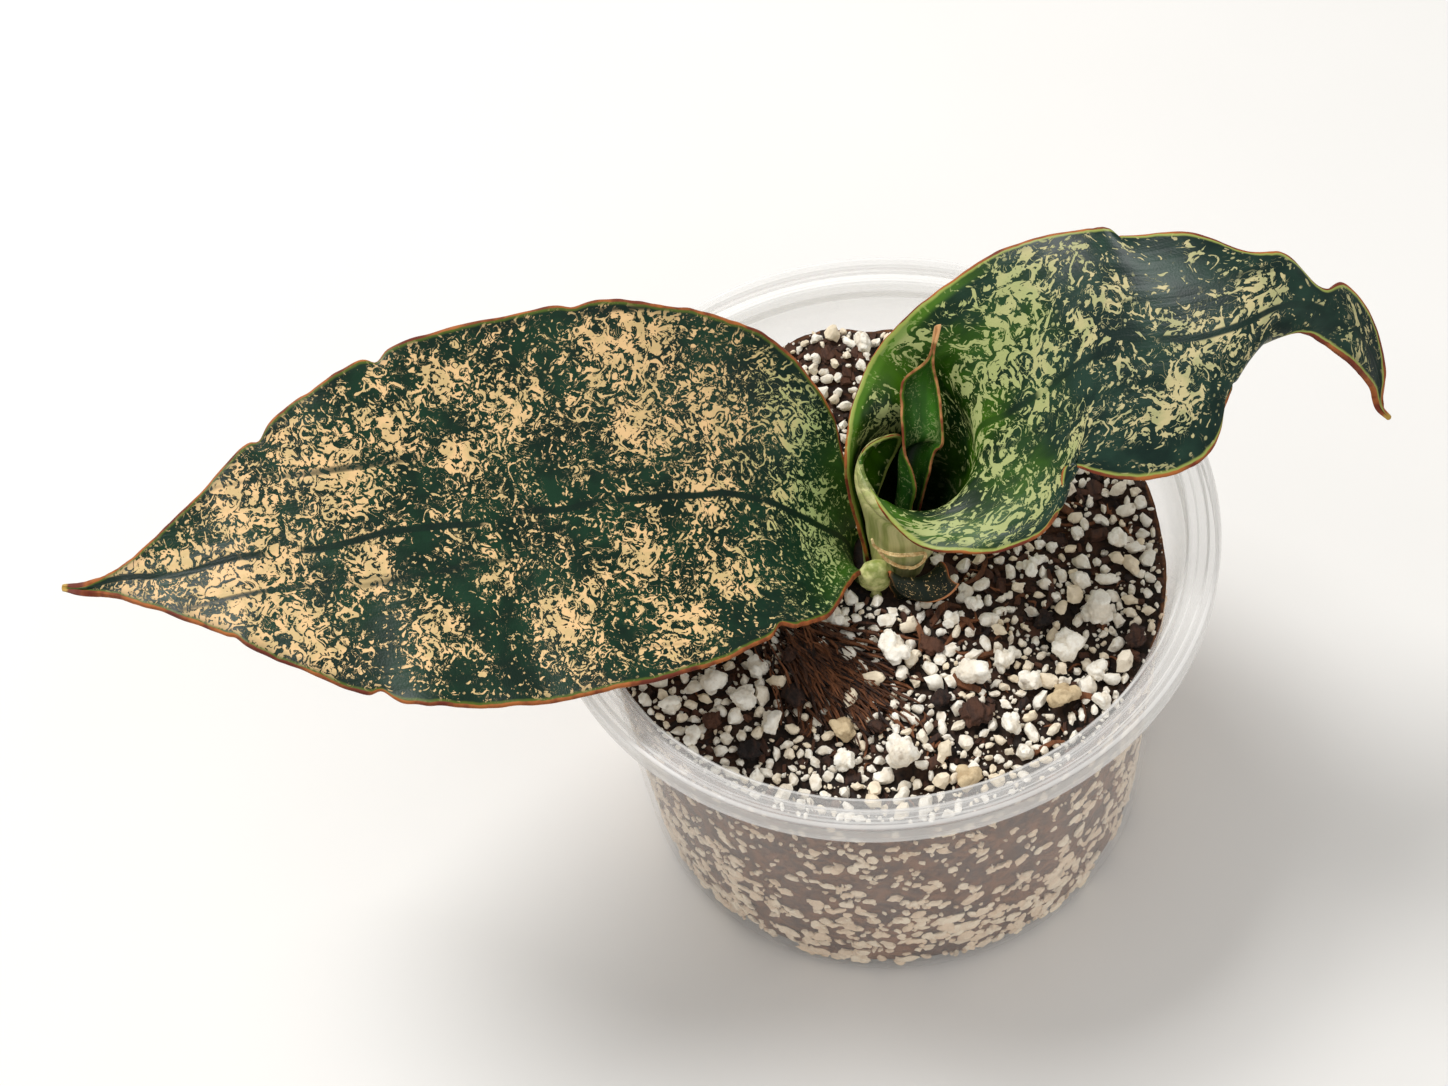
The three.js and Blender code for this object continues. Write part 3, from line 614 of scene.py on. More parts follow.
# patches: how far along the blade, how far across it from -1 to 1, and the size in millimetres
leafLeftShape = {
    "along": 220, "across": 60, "thickness": leafThickness, "margin": 0.7, "rolled": True, "seed": 1.7,
    "wave": 0.55, "groove": 0.1, "ruffle": 0.7, "crimp": 0.6, "easing": 5, "easeFrom": 0.1,
    "nicks": [(1, 0.60, 1.9, 1.3), (1, 0.75, 1.7, 1.2), (1, 0.40, 0.9, 1.2), (0, 0.67, 1.7, 1.3),
              (0, 0.20, 2.2, 1.5), (0, 0.81, 0.9, 0.9)],
    "patches": [(0.63, 0.50, 8), (0.70, 0.54, 6), (0.73, -0.34, 6), (0.68, -0.72, 6.5), (0.50, 0.56, 5.5),
                (0.53, 0.78, 4), (0.53, 0.36, 2.6), (0.42, 0.76, 7), (0.36, 0.42, 7), (0.42, 0.36, 5),
                (0.49, -0.58, 5), (0.52, -0.32, 2.6), (0.40, -0.76, 5.5), (0.36, 0.04, 4.5),
                (0.61, -0.16, 4.5), (0.57, -0.60, 4.5), (0.35, -0.46, 4.2), (0.43, -0.32, 4),
                (0.57, 0.58, 4.5), (0.68, -0.04, 5), (0.27, 0.62, 5), (0.24, 0.16, 5), (0.83, -0.3, 4.5),
                (0.86, 0.35, 4), (0.21, -0.16, 3.5), (0.45, 0.86, 3), (0.78, 0.1, 4), (0.75, -0.7, 4)],
}
leafRightShape = {
    "along": 220, "across": 60, "thickness": leafThickness, "margin": 0.65, "rolled": True, "seed": 4.2,
    "wave": 0.3, "groove": 0.1, "ruffle": 0.5, "crimp": 0.5, "easing": 7, "easeFrom": 0.4,
    "nicks": [(1, 0.70, 2.6, 1.5), (1, 0.75, 1.9, 1.2), (0, 0.595, 1.1, 1.0)],
    "patches": [(0.43, -0.68, 4.5), (0.39, -0.52, 5), (0.42, -0.20, 3.5), (0.40, 0.04, 3.5),
                (0.35, -0.26, 4.5), (0.35, 0.24, 4.5), (0.29, 0.34, 4), (0.40, 0.68, 3.5),
                (0.32, -0.86, 3.5), (0.20, -0.80, 3), (0.64, 0.10, 4.5), (0.60, 0.42, 3.5),
                (0.68, -0.28, 4), (0.58, 0.58, 3), (0.52, -0.46, 3), (0.47, -0.20, 2.5), (0.71, -0.12, 3),
                (0.32, 0.84, 3), (0.36, 0.80, 3.5), (0.31, 0.0, 4), (0.46, 0.5, 3)],
}
youngLeafShape = {"along": 90, "across": 20, "thickness": 0.9, "margin": 0.4, "rolled": False, "seed": 7.5,
                  "wave": 0.3, "groove": 0.05, "ruffle": 0.5, "crimp": 0.7, "easing": 2, "easeFrom": 0.1,
                  "nicks": [], "patches": [(0.5, 0.2, 3)]}
oldLeafShape = {"along": 48, "across": 30, "thickness": 1.0, "margin": 0.4, "rolled": False, "seed": 9.1,
                "wave": 0.5, "groove": 0.1, "ruffle": 0.9, "crimp": 1.2, "easing": 1, "easeFrom": 0.1,
                "nicks": [], "patches": []}

matureLook = {
    "amount": 0.13, "markScale": 450.0, "markStrength": 0.96, "gloss": 0.36, "shine": 0.2,
    "deep": colour(4, 30, 18), "mid": colour(14, 50, 30), "vein": colour(6, 24, 18),
    "freshDeep": colour(18, 52, 12), "freshMid": colour(52, 92, 24),
    "pale": colour(206, 178, 124), "paleWarm": colour(232, 192, 138), "paleFresh": colour(172, 186, 122),
    "rim": colour(104, 44, 28), "rimLight": colour(168, 98, 48), "innerRim": colour(84, 100, 30),
    "tip": colour(176, 142, 66), "tipFrom": 0.978, "rimWidth": 0.34, "rimFrom": 0.02,
    "baseFrom": 0.10, "baseTo": 0.27, "paleFrom": 0.22, "paleTo": 0.36,
    "border": colour(110, 150, 40), "borderWidth": 4.0, "borderStrength": 0.0, "veinStrength": 0.6,
    "marksEnd": 0.93, "outsideIsSecond": False, "sheathTo": -0.2, "sheathDeep": colour(142, 154, 78),
    # the last three entries on the next line paint dark shade on the inner face of the hollow leaf base
    "sheathPale": colour(214, 208, 148), "paintedHollowShadeFrom": -0.3, "paintedHollowShadeTo": -0.2, "paintedHollowShade": colour(3, 14, 3),
}
rolledLook = dict(matureLook, amount=0.12, markScale=330.0, baseFrom=0.30, baseTo=0.47,
                  innerRim=colour(160, 170, 84), deep=colour(12, 34, 28), mid=colour(30, 56, 44),
                  pale=colour(168, 166, 118), paleWarm=colour(196, 182, 134),
                  paleFresh=colour(166, 174, 112), freshDeep=colour(10, 36, 4), freshMid=colour(58, 98, 6),
                  paleFrom=0.36, paleTo=0.52, borderStrength=0.5, border=colour(92, 138, 36), rimWidth=0.42,
                  outsideIsSecond=True, rimFrom=0.3, veinStrength=0.35, sheathTo=0.27, paintedHollowShadeFrom=0.13,
                  paintedHollowShadeTo=0.26, rim=colour(112, 48, 30))
youngLook = dict(matureLook, amount=0.05, markScale=900.0, markStrength=0.4, baseFrom=1.2, baseTo=1.4,
                 freshDeep=colour(16, 50, 12), freshMid=colour(60, 112, 30), rimWidth=0.0, paintedHollowShadeFrom=0.36,
                 paintedHollowShadeTo=0.5, outsideIsSecond=True, veinStrength=0.1, rim=colour(120, 58, 34),
                 rimLight=colour(190, 132, 84), innerRim=colour(96, 128, 40), tipFrom=0.93,
                 tip=colour(206, 158, 108), paleFrom=1.1, paleTo=1.3)
oldLook = dict(matureLook, amount=-0.3, markScale=1000.0, deep=colour(20, 26, 18), mid=colour(34, 40, 24),
               baseFrom=-0.5, baseTo=-0.2, rimWidth=0.1, rim=colour(160, 88, 48),
               rimLight=colour(222, 156, 104), innerRim=colour(80, 62, 34), gloss=0.5, paleFrom=-0.5,
               paleTo=-0.2, tipFrom=0.95, tip=colour(196, 132, 88))

rightSections = [rollSection(*roll) for roll in leafRightRolls] + [arcSection(s) for s in leafRightSections]
for name, sections, shape, look, slotName, node in (
    ("leafLeft", [arcSection(s) for s in leafLeftSections], leafLeftShape, matureLook, "leaf", "leaf_left"),
    ("leafRight", rightSections, leafRightShape, rolledLook, "leaf", "leaf_right"),
    ("youngLeaf", [arcSection(s) for s in youngLeafSections], youngLeafShape, youngLook, "young_leaf",
     "young_leaf"),
    ("oldLeafStub", [arcSection(s) for s in oldLeafSections], oldLeafShape, oldLook, "old_leaf",
     "old_leaf_stub"),
):
    leaf = leafPiece(sections, shape)
    setMaterial(leaf, leafSkin(name + "Skin", look))
    settle(leaf, name, [node])
    print("made", name)


sheathSetup = {
    "upper": {"node": "dry_sheath_upper", "width": 0.62, "thickness": 0.3,
              "path": [(-1.3, -3.0, 18.4), (-0.8, -3.5, 16.4), (1.0, -4.4, 15.4), (3.0, -5.3, 15.6),
                       (5.3, -6.6, 17.2), (7.2, -6.6, 17.0), (7.0, -6.9, 15.4), (5.6, -6.8, 13.6),
                       (4.4, -6.6, 13.0)]},
    "lower": {"node": "dry_sheath_lower", "width": 0.55, "thickness": 0.3,
              "path": [(-0.4, -3.9, 16.0), (0.6, -4.6, 14.2), (2.0, -5.3, 13.0), (3.4, -5.9, 12.6),
                       (4.9, -6.4, 13.0)]},
    "steps": 60,
}


def dryPaperSkin():
    material, tree, skin = newMaterial("dryPaper", Roughness=0.75)
    spot = objectCoords(tree)
    tone = useGroup(tree, grainGroup, {"Vector": spot, "Scale": 420.0})
    paper = blendColours(tree, band(tree, tone["Tone"], 0.38, 0.62), colour(190, 150, 92),
                         colour(240, 216, 160))
    tree.links.new(paper, skin.inputs["Base Color"])
    fibres = noiseAt(tree, stretched(tree, spot, (1, 1, 0.2)), 2400.0, 3)
    addBump(tree, skin, fibres, 0.0001)
    return material


def sheathStrip(shape, name, material):  # a grid bent along the path, then thickened
    steps = sheathSetup["steps"]
    deselectAll()
    bpy.ops.mesh.primitive_grid_add(x_subdivisions=4, y_subdivisions=steps, size=1.0)
    piece = bpy.context.object
    points = np.array(shape["path"], float)
    path = through(points, np.linspace(0, len(points) - 1, steps + 1))
    tangent = np.gradient(path, axis=0)
    tangent /= np.linalg.norm(tangent, axis=1, keepdims=True)
    side = np.cross(tangent, np.array([0.35, -0.6, 0.72]))
    side /= np.linalg.norm(side, axis=1, keepdims=True)
    for vertex in piece.data.vertices:
        row = round((vertex.co.y + 0.5) * steps)
        away = vertex.co.x * shape["width"]
        taper = 0.35 + 0.65 * math.sin(math.pi * min(max(row / steps, 0.04), 0.96)) ** 0.5
        curl = 0.25 * (2 * vertex.co.x) ** 2
        facing = np.cross(side[row], tangent[row])
        ragged = 0.12 * noise.noise(Vector((row * 0.4, vertex.co.x * 3, 2.0)))
        spot = path[row] + side[row] * (away * taper + ragged) + facing * curl
        vertex.co = Vector((spot[0], spot[1], spot[2] + crownHeight)) * mm
    solidify = piece.modifiers.new("paperThickness", "SOLIDIFY")
    solidify.thickness = shape["thickness"] * mm
    solidify.offset = 0.0
    subdivision = piece.modifiers.new("softEdges", "SUBSURF")
    subdivision.levels = subdivision.render_levels = 1
    applyModifiers(piece)
    bpy.ops.object.mode_set(mode="EDIT")
    bpy.ops.mesh.select_all(action="SELECT")
    bpy.ops.mesh.normals_make_consistent(inside=False)
    bpy.ops.object.mode_set(mode="OBJECT")
    setMaterial(piece, material)
    settle(piece, name, [shape["node"]])


dryPaper = dryPaperSkin()
sheathStrip(sheathSetup["upper"], "drySheathUpper", dryPaper)
sheathStrip(sheathSetup["lower"], "drySheathLower", dryPaper)


def rhizomeSkin():
    material, tree, skin = newMaterial("rhizomeSkin", **{"Roughness": 0.5, "Subsurface Weight": 0.08})
    skin.inputs["Subsurface Radius"].default_value = (0.002, 0.002, 0.001)
    spot = objectCoords(tree)
    tone = useGroup(tree, grainGroup, {"Vector": spot, "Scale": 230.0})
    flesh = blendColours(tree, band(tree, tone["Tone"], 0.36, 0.64), colour(140, 152, 72),
                         colour(214, 212, 146))
    tree.links.new(flesh, skin.inputs["Base Color"])
    addBump(tree, skin, tone["Height"], 0.0003)
    return material


def rhizomeBody():  # a knob under the mix whose shoulder stands up beside the leaf bases
    neck = {"x": -1.5, "y": -5.2, "halfX": 1.6, "halfY": 1.3, "halfZ": 7.0, "middle": -1.5}
    knob = {"x": 1.2, "y": 0.4, "halfX": 7.2, "halfY": 7.0, "halfZ": 5.2, "middle": -6.4}
    bud = {"x": -1.0, "y": -4.0, "halfX": 3.0, "halfY": 2.2, "halfZ": 3.9, "middle": 8.2}
    parts = []
    for shape in (knob, neck, bud):
        deselectAll()
        bpy.ops.mesh.primitive_uv_sphere_add(segments=64, ring_count=40, radius=1.0, location=(0, 0, 0))
        part = bpy.context.object
        for vertex in part.data.vertices:
            way = vertex.co.copy()
            wrinkle = 1 + 0.12 * noise.noise(way * 1.9) + 0.03 * math.sin(way.z * 16)
            vertex.co = Vector((shape["x"] + way.x * shape["halfX"] * wrinkle,
                                shape["y"] + way.y * shape["halfY"] * wrinkle,
                                crownHeight + shape["middle"] + way.z * shape["halfZ"])) * mm
        parts.append(part)
    body = parts[0]
    for part in parts[1:]:
        join = body.modifiers.new("join", "BOOLEAN")
        join.operation = "UNION"
        join.solver = "EXACT"
        join.object = part
        applyModifiers(body)
        bpy.data.objects.remove(part)
    setMaterial(body, rhizomeSkin())
    settle(body, "rhizomeShoulder", ["rhizome"])


rhizomeBody()
print("made crown pieces")


tub = {
    "height": 78.0,  # millimetres
    "rimRadius": 58.5,
    "rimWidth": 6.0,
    "baseRadius": 47.0,
    "wall": 0.9,
    "skirt": 4.6,
    # painted highlight lines on the rim: radius and width in metres, and strength
    "rings": [(0.0529, 0.0003, 0.3), (0.0546, 0.0002, 0.16), (0.0563, 0.0003, 0.28), (0.0579, 0.0005, 0.3)],
    "corner": 4.5,
    "steps": 160,  # round the axis
}


def arcProfile(x, z, radius, start, end, count):
    turnsBy = [start + (end - start) * i / count for i in range(count + 1)]
    return [(x + radius * math.cos(math.radians(a)), z + radius * math.sin(math.radians(a)))
            for a in turnsBy]


def tubProfile(t):
    wallTop = t["rimRadius"] - t["rimWidth"] - 0.6
    ledge = t["height"] - t["skirt"]
    outside = t["rimRadius"]
    inCorner = t["corner"] - t["wall"]
    profile = [(0.0, 0.0)]
    profile += arcProfile(t["baseRadius"] - t["corner"], t["corner"], t["corner"], -90, 0, 7)
    profile += [(wallTop - 0.7, ledge - 3.4), (wallTop - 0.35, ledge - 1.9), (wallTop + 0.6, ledge - 0.6)]
    profile += [(wallTop + 1.7, t["height"] - 1.9), (wallTop + 2.6, t["height"] - 1.6)]
    profile += [(outside - 1.7, t["height"] - 1.6), (outside - t["wall"], t["height"] - 2.3)]
    profile += [(outside - t["wall"], ledge + 0.25), (outside - 0.55, ledge), (outside - 0.1, ledge + 0.2)]
    profile += [(outside, t["height"] - 0.9)]
    profile += arcProfile(outside - 0.7, t["height"] - 0.7, 0.7, 20, 90, 4)
    profile += [(outside - 2.0, t["height"]), (outside - 2.3, t["height"] - 0.45),
                (outside - 2.7, t["height"] - 0.6)]
    profile += [(outside - 3.2, t["height"] - 0.42), (outside - 3.7, t["height"] - 0.6)]
    profile += [(outside - t["rimWidth"] + 1.2, t["height"] - 0.55),
                (outside - t["rimWidth"] + 0.8, t["height"] - 0.1)]
    profile += [(outside - t["rimWidth"] + 0.4, t["height"]), (outside - t["rimWidth"], t["height"] - 0.35)]
    profile += [(wallTop - t["wall"] + 0.6, ledge + 1.2), (wallTop - t["wall"] + 0.4, ledge - 0.5)]
    profile += [(wallTop - t["wall"] - 0.5, ledge - 2.2)]
    profile += arcProfile(t["baseRadius"] - t["corner"], t["corner"], inCorner, 0, -90, 7)
    profile += [(0.0, t["wall"])]
    return profile


def tubInnerRadius(z):
    low = tub["baseRadius"] - tub["wall"]
    high = tub["rimRadius"] - tub["rimWidth"] - 0.6 - tub["wall"] - 0.5
    ratio = (z - tub["corner"]) / (tub["height"] - tub["skirt"] - 2.2 - tub["corner"])
    return low + (high - low) * min(max(ratio, 0), 1)


def clearPlasticSkin():
    material, tree, skin = newMaterial("clearPlastic", **{"Roughness": 0.22, "IOR": 1.47})
    spot = objectCoords(tree)
    separate = addNode(tree, "ShaderNodeSeparateXYZ", {"Vector": spot})
    height = separate.outputs["Z"]
    radial = addNode(tree, "ShaderNodeVectorMath", {0: stretched(tree, spot, (1, 1, 0))},
                     operation="LENGTH")
    onRim = band(tree, radial.outputs["Value"], 0.0505, 0.0522)
    underRim = band(tree, height, 0.064, 0.0735)
    angle = maths(tree, "ARCTAN2", separate.outputs["Y"], separate.outputs["X"])
    around = addNode(tree, "ShaderNodeCombineXYZ",
                     {"X": times(tree, angle, 5.0), "Y": times(tree, height, 40.0)})
    flow = noiseAt(tree, around.outputs[0], 1.2, 3, 0.6)
    clear = timesPlus(tree, flow, 0.05, 0.02)
    milky = timesPlus(tree, underRim, 0.08, clear)
    alpha = maths(tree, "MULTIPLY_ADD", onRim, 0.08, milky, clamp=True)
    # painted highlights: fine opaque white lines round the rim stand in for glints along its ridges
    for ring, width, strength in tub["rings"]:  # fine bright lines round the rim
        away = maths(tree, "ABSOLUTE", maths(tree, "SUBTRACT", radial.outputs["Value"], ring))
        line = inverse(tree, band(tree, away, width * 0.4, width))
        alpha = timesPlus(tree, line, times(tree, onRim, strength), alpha)
    shine = addNode(tree, "ShaderNodeLayerWeight", {"Blend": 0.35})
    edge = times(tree, maths(tree, "POWER", shine.outputs["Facing"], 3.0), 0.35)
    alpha = maths(tree, "ADD", alpha, edge, clamp=True)
    cloudy = blendColours(tree, flow, colour(236, 233, 229), colour(250, 249, 247))
    tree.links.new(cloudy, skin.inputs["Base Color"])
    tree.links.new(alpha, skin.inputs["Alpha"])
    smear = noiseAt(tree, spot, 60.0, 3, 0.6)
    tree.links.new(timesPlus(tree, smear, 0.2, 0.06), skin.inputs["Roughness"])
    addBump(tree, skin, flow, 0.0006, 0.5)
    return material


def turnedPiece(profile, steps):  # a single point extruded along the profile, then spun about the axis
    deselectAll()
    bpy.ops.mesh.primitive_plane_add(size=0.001, location=(0, 0, 0))
    piece = bpy.context.object
    bpy.ops.object.mode_set(mode="EDIT")
    bpy.ops.mesh.select_all(action="SELECT")
    bpy.ops.mesh.merge(type="CENTER")
    bpy.ops.transform.translate(value=(profile[0][0] * mm, 0, profile[0][1] * mm))
    for (x0, z0), (x1, z1) in zip(profile, profile[1:]):
        step = ((x1 - x0) * mm, 0, (z1 - z0) * mm)
        bpy.ops.mesh.extrude_region_move(TRANSFORM_OT_translate={"value": step})
    bpy.ops.mesh.select_all(action="SELECT")
    bpy.ops.mesh.spin(steps=steps, angle=math.tau, center=(0, 0, 0), axis=(0, 0, 1))
    bpy.ops.mesh.select_all(action="SELECT")
    bpy.ops.mesh.remove_doubles(threshold=0.00001)
    bpy.ops.mesh.normals_make_consistent(inside=False)
    bpy.ops.object.mode_set(mode="OBJECT")
    return piece


def tubBody():
    piece = turnedPiece(tubProfile(tub), tub["steps"])
    setMaterial(piece, clearPlasticSkin())
    bpy.ops.object.shade_smooth_by_angle(angle=math.radians(50))
    settle(piece, "clearTub", ["pot"], smooth=False)


tubBody()
print("made tub")


mix = {
    "level": 65.0,  # mean height of the surface
    "rise": 3.2,  # higher at the back
    "gap": 0.3,
    "rings": 46,
    "turns": 200,
}


def mixTop(x, y):
    reach = tubInnerRadius(mix["level"])
    swell = 0.7 * math.sin(x * 0.21 + 1.3) * math.cos(y * 0.17 - 0.4) + 0.5 * math.sin(x * 0.37 + y * 0.31)
    return mix["level"] + mix["rise"] * (y / reach) + swell


def mixCrumbs(x, y):  # crumbly relief in millimetres, never far above the mean surface
    heap = 2.4 * math.exp(-((x + 1) ** 2 + (y - 43) ** 2) / 40)
    broad = noise.noise(Vector((x * 0.13, y * 0.13, 0.5)))
    lumps = 1 - abs(noise.noise(Vector((x * 0.42, y * 0.42, 3.5))))
    fine = noise.noise(Vector((x * 1.3, y * 1.3, 8.1)))
    atCrown = 1.9 * math.exp(-((x + 1) ** 2 + (y + 9) ** 2) / 26)
    return heap + atCrown + 0.8 * broad + 1.1 * (lumps - 0.8) + 0.45 * fine


def pottingMixSkin():
    material, tree, skin = newMaterial("pottingMixSkin", Roughness=0.95)
    spot = objectCoords(tree)
    crumb = useGroup(tree, grainGroup, {"Vector": spot, "Scale": 190.0})
    base = blendColours(tree, band(tree, crumb["Tone"], 0.36, 0.66), colour(18, 11, 7), colour(58, 38, 24))
    coirHere = band(tree, noiseAt(tree, spot, 42.0, 2), 0.50, 0.60)
    fibre = noiseAt(tree, stretched(tree, spot, (0.35, 1, 1)), 900.0, 3, 0.6, 0.8)
    coir = blendColours(tree, band(tree, fibre, 0.4, 0.62), colour(32, 16, 9), colour(84, 50, 30))
    base = blendColours(tree, times(tree, coirHere, 0.7), base, coir)
    dust = addNode(tree, "ShaderNodeTexVoronoi", {"Vector": spot, "Scale": 620.0})
    flecks = inverse(tree, band(tree, dust.outputs["Distance"], 0.10, 0.17))
    flecks = times(tree, flecks, band(tree, noiseAt(tree, spot, 150.0, 2), 0.50, 0.62))
    base = blendColours(tree, flecks, base, colour(216, 204, 186))
    height = addNode(tree, "ShaderNodeSeparateXYZ", {"Vector": spot}).outputs["Z"]
    pressed = inverse(tree, band(tree, height, 0.0590, 0.0608))  # damp mix pressed on the wall
    radial = addNode(tree, "ShaderNodeVectorMath", {0: stretched(tree, spot, (1, 1, 0))},
                     operation="LENGTH")
    pressed = maths(tree, "MAXIMUM", pressed, band(tree, radial.outputs["Value"], 0.0488, 0.0493))
    damp = blendColours(tree, band(tree, crumb["Tone"], 0.36, 0.66), colour(78, 44, 24),
                        colour(142, 94, 60))
    base = blendColours(tree, times(tree, pressed, 0.85), base, damp)
    tree.links.new(base, skin.inputs["Base Color"])
    addBump(tree, skin, crumb["Height"], 0.0009, 0.9)
    return material


def mixBody():
    topRadius = tubInnerRadius(mix["level"] - 3) - mix["gap"]
    corner = arcProfile(tub["baseRadius"] - tub["corner"], tub["corner"],
                        tub["corner"] - tub["wall"] - mix["gap"], 0, -90, 5)
    profile = [(topRadius * i / mix["rings"], mix["level"]) for i in range(mix["rings"] + 1)]
    profile += [(tubInnerRadius(z) - mix["gap"], z) for z in np.linspace(60, tub["corner"], 30)]
    profile += corner[1:] + [(0.0, tub["wall"] + mix["gap"])]
    piece = turnedPiece(profile, mix["turns"])
    for vertex in piece.data.vertices:
        x, y, z = vertex.co / mm
        if z > mix["level"] - 0.5:
            vertex.co.z = (mixTop(x, y) + mixCrumbs(x, y) - 0.4) * mm
        elif z > tub["corner"] * 0.5:
            radius = math.hypot(x, y)
            dent = noise.noise(Vector((x / radius * 9, y / radius * 9, z * 0.2)))
            pull = (0.25 + 0.9 * max(0, dent)) / radius
            vertex.co.x -= vertex.co.x * pull
            vertex.co.y -= vertex.co.y * pull
    setMaterial(piece, pottingMixSkin())
    settle(piece, "pottingMix", ["soil_mix"])


mixBody()
print("made mix")


grains = {
    "seed": 41,
    "mediumHalf": (1.1, 2.6),  # least and most half size
    "smallHalf": (0.55, 1.2),
    "tinyHalf": (0.2, 0.5),
    "barkHalf": 0.8,
    "barkSpread": 2.6,
    "crownClear": 8.2,  # grains keep this far from the crown's axis
    "barkClear": 8.4,
    "fibreClear": 10,
    "bigSticks": 22,
    "crispAngle": 34,  # faces that meet at more than this stay crisp
    "medium": 6500,  # how many of each are tried on the surface
    "small": 14000,
    "tiny": 5000,
    "bark": 5200,
    "fibres": 1100,
    "pressed": 4200,  # grains that show through the wall
    # x, y, reach and how much of the white grain is left out there
    "darkPlaces": [(-13, -17, 7, 0.97), (-8.5, -23.5, 7.5, 0.97), (35, 3, 8, 0.9), (42, 8, 7, 0.85),
                   (21, -8, 7, 0.85), (9, -13, 7, 0.85), (12, -32, 3.6, 0.9), (-28, -32, 4, 0.85),
                   (-33, -26, 3.5, 0.7), (41, -20, 4, 0.85), (30, -4, 4, 0.6), (-4, -33, 3.5, 0.7),
                   (0, 43, 5, 0.5)],
    # the same, with how much of it is added
    "brightPlaces": [(28, -20, 9, 0.5), (1, -17, 5, 0.5), (31, -31, 7, 0.5), (2, -42, 14, 0.9),
                     (20, -38, 9, 0.7), (-18, -38, 9, 0.7), (-25, -24, 6, 0.4)],
}


# a popcorn shape: balls grown together, with creases between
def lumpyBall(seed, subdivisions, lobes, fine):
    pick = random.Random(seed)
    deselectAll()
    bpy.ops.mesh.primitive_ico_sphere_add(subdivisions=subdivisions, radius=1.0, location=(0, 0, 0))
    piece = bpy.context.object
    knobs = []
    for _ in range(lobes):
        way = Vector((pick.gauss(0, 1), pick.gauss(0, 1), pick.gauss(0, 1))).normalized()
        knobs.append((way * pick.uniform(0.42, 0.74), pick.uniform(0.32, 0.55)))
    knobs.append((Vector((0, 0, 0)), 0.56))
    cuts = [(Vector((pick.gauss(0, 1), pick.gauss(0, 1), pick.gauss(0, 1))).normalized(),
             pick.uniform(0.6, 0.84))
            for _ in range(10)]
    reaches = []
    for vertex in piece.data.vertices:
        way = vertex.co.normalized()
        reach = 0.0
        for centre, radius in knobs:
            along = way.dot(centre)
            inside = radius ** 2 - centre.length_squared + along ** 2
            if inside > 0:
                reach = max(reach, along + math.sqrt(inside))
        for facing, distance in cuts:  # flat broken faces
            if way.dot(facing) > 0.05:
                reach = min(reach, distance / way.dot(facing))
        reach *= 1 + fine * noise.noise(way * 4.1 + Vector((seed, 0, 0)))
        vertex.co = way * reach
        reaches.append(reach)
    low, high = min(reaches), max(reaches)
    # how deep each point sits between the lobes; the grain skins paint shade in the deep creases
    floatAttribute(piece.data, "crease", [(r - low) / max(high - low, 1e-6) for r in reaches])
    return piece


def brokenChip(seed):  # a bevelled block with its corners pushed about
    pick = random.Random(seed)
    deselectAll()
    bpy.ops.mesh.primitive_cube_add(size=2.0, location=(0, 0, 0))
    piece = bpy.context.object
    bpy.ops.object.mode_set(mode="EDIT")
    bpy.ops.mesh.select_all(action="SELECT")
    bpy.ops.mesh.subdivide(number_cuts=1, smoothness=0.35)
    bpy.ops.object.mode_set(mode="OBJECT")
    for vertex in piece.data.vertices:
        push = Vector((pick.uniform(-1, 1), pick.uniform(-1, 1), pick.uniform(-1, 1))) * 0.22
        vertex.co = vertex.co * 0.8 + push
    return piece


def bentStrand(seed):  # a thin strand with a gentle curve, one unit in half length and width
    pick = random.Random(seed)
    deselectAll()
    bpy.ops.mesh.primitive_cube_add(size=2.0, location=(0, 0, 0))
    piece = bpy.context.object
    bpy.ops.object.mode_set(mode="EDIT")
    bpy.ops.mesh.select_all(action="SELECT")
    bpy.ops.mesh.subdivide(number_cuts=3, smoothness=0.0)
    bpy.ops.object.mode_set(mode="OBJECT")
    bend, sway, turnBy = pick.uniform(-3.5, 3.5), pick.uniform(-1.2, 1.2), pick.uniform(2, 4)
    for vertex in piece.data.vertices:
        x, y, z = vertex.co
        taper = 1 - 0.6 * abs(x) ** 3
        vertex.co = Vector((x, y * taper + bend * (x * x - 0.5) + sway * math.sin(x * turnBy),
                            z * taper + 0.8 * sway * math.cos(x * turnBy)))
    return piece


def meshArrays(piece):
    mesh = piece.data
    points = np.empty(len(mesh.vertices) * 3)
    mesh.vertices.foreach_get("co", points)
    faces = [tuple(face.vertices) for face in mesh.polygons]
    crease = np.ones(len(mesh.vertices))
    if "crease" in mesh.attributes:
        mesh.attributes["crease"].data.foreach_get("value", crease)
    bpy.data.objects.remove(piece)
    return points.reshape(-1, 3), faces, crease


def scattered(name, shapes, places, material):
    # places: x, y, z in millimetres, three half sizes, a turn, a tone and a shape number
    deselectAll()
    bpy.ops.mesh.primitive_ico_sphere_add(subdivisions=1, radius=0.001, location=(0, 0, 0))
    piece = bpy.context.object
    allPoints, allFaces, allCrease, allTone, start = [], [], [], [], 0
    for x, y, z, size, turn, tone, number in places:
        points, faces, crease = shapes[number % len(shapes)]
        moved = (points * np.array(size)) @ np.array(turn.to_matrix()).T + np.array((x, y, z))
        allPoints.append(moved * mm)
        allFaces += [tuple(start + index for index in face) for face in faces]
        allCrease.append(crease)
        allTone.append(np.full(len(points), tone))
        start += len(points)
    mesh = bpy.data.meshes.new(name)
    mesh.from_pydata(np.concatenate(allPoints).tolist(), [], allFaces)
    mesh.update()
    piece.data = mesh
    floatAttribute(mesh, "crease", np.concatenate(allCrease))
    floatAttribute(mesh, "grainTone", np.concatenate(allTone))
    setMaterial(piece, material)
    settle(piece, name)
    bpy.ops.object.shade_smooth_by_angle(angle=math.radians(grains["crispAngle"]))
    return piece


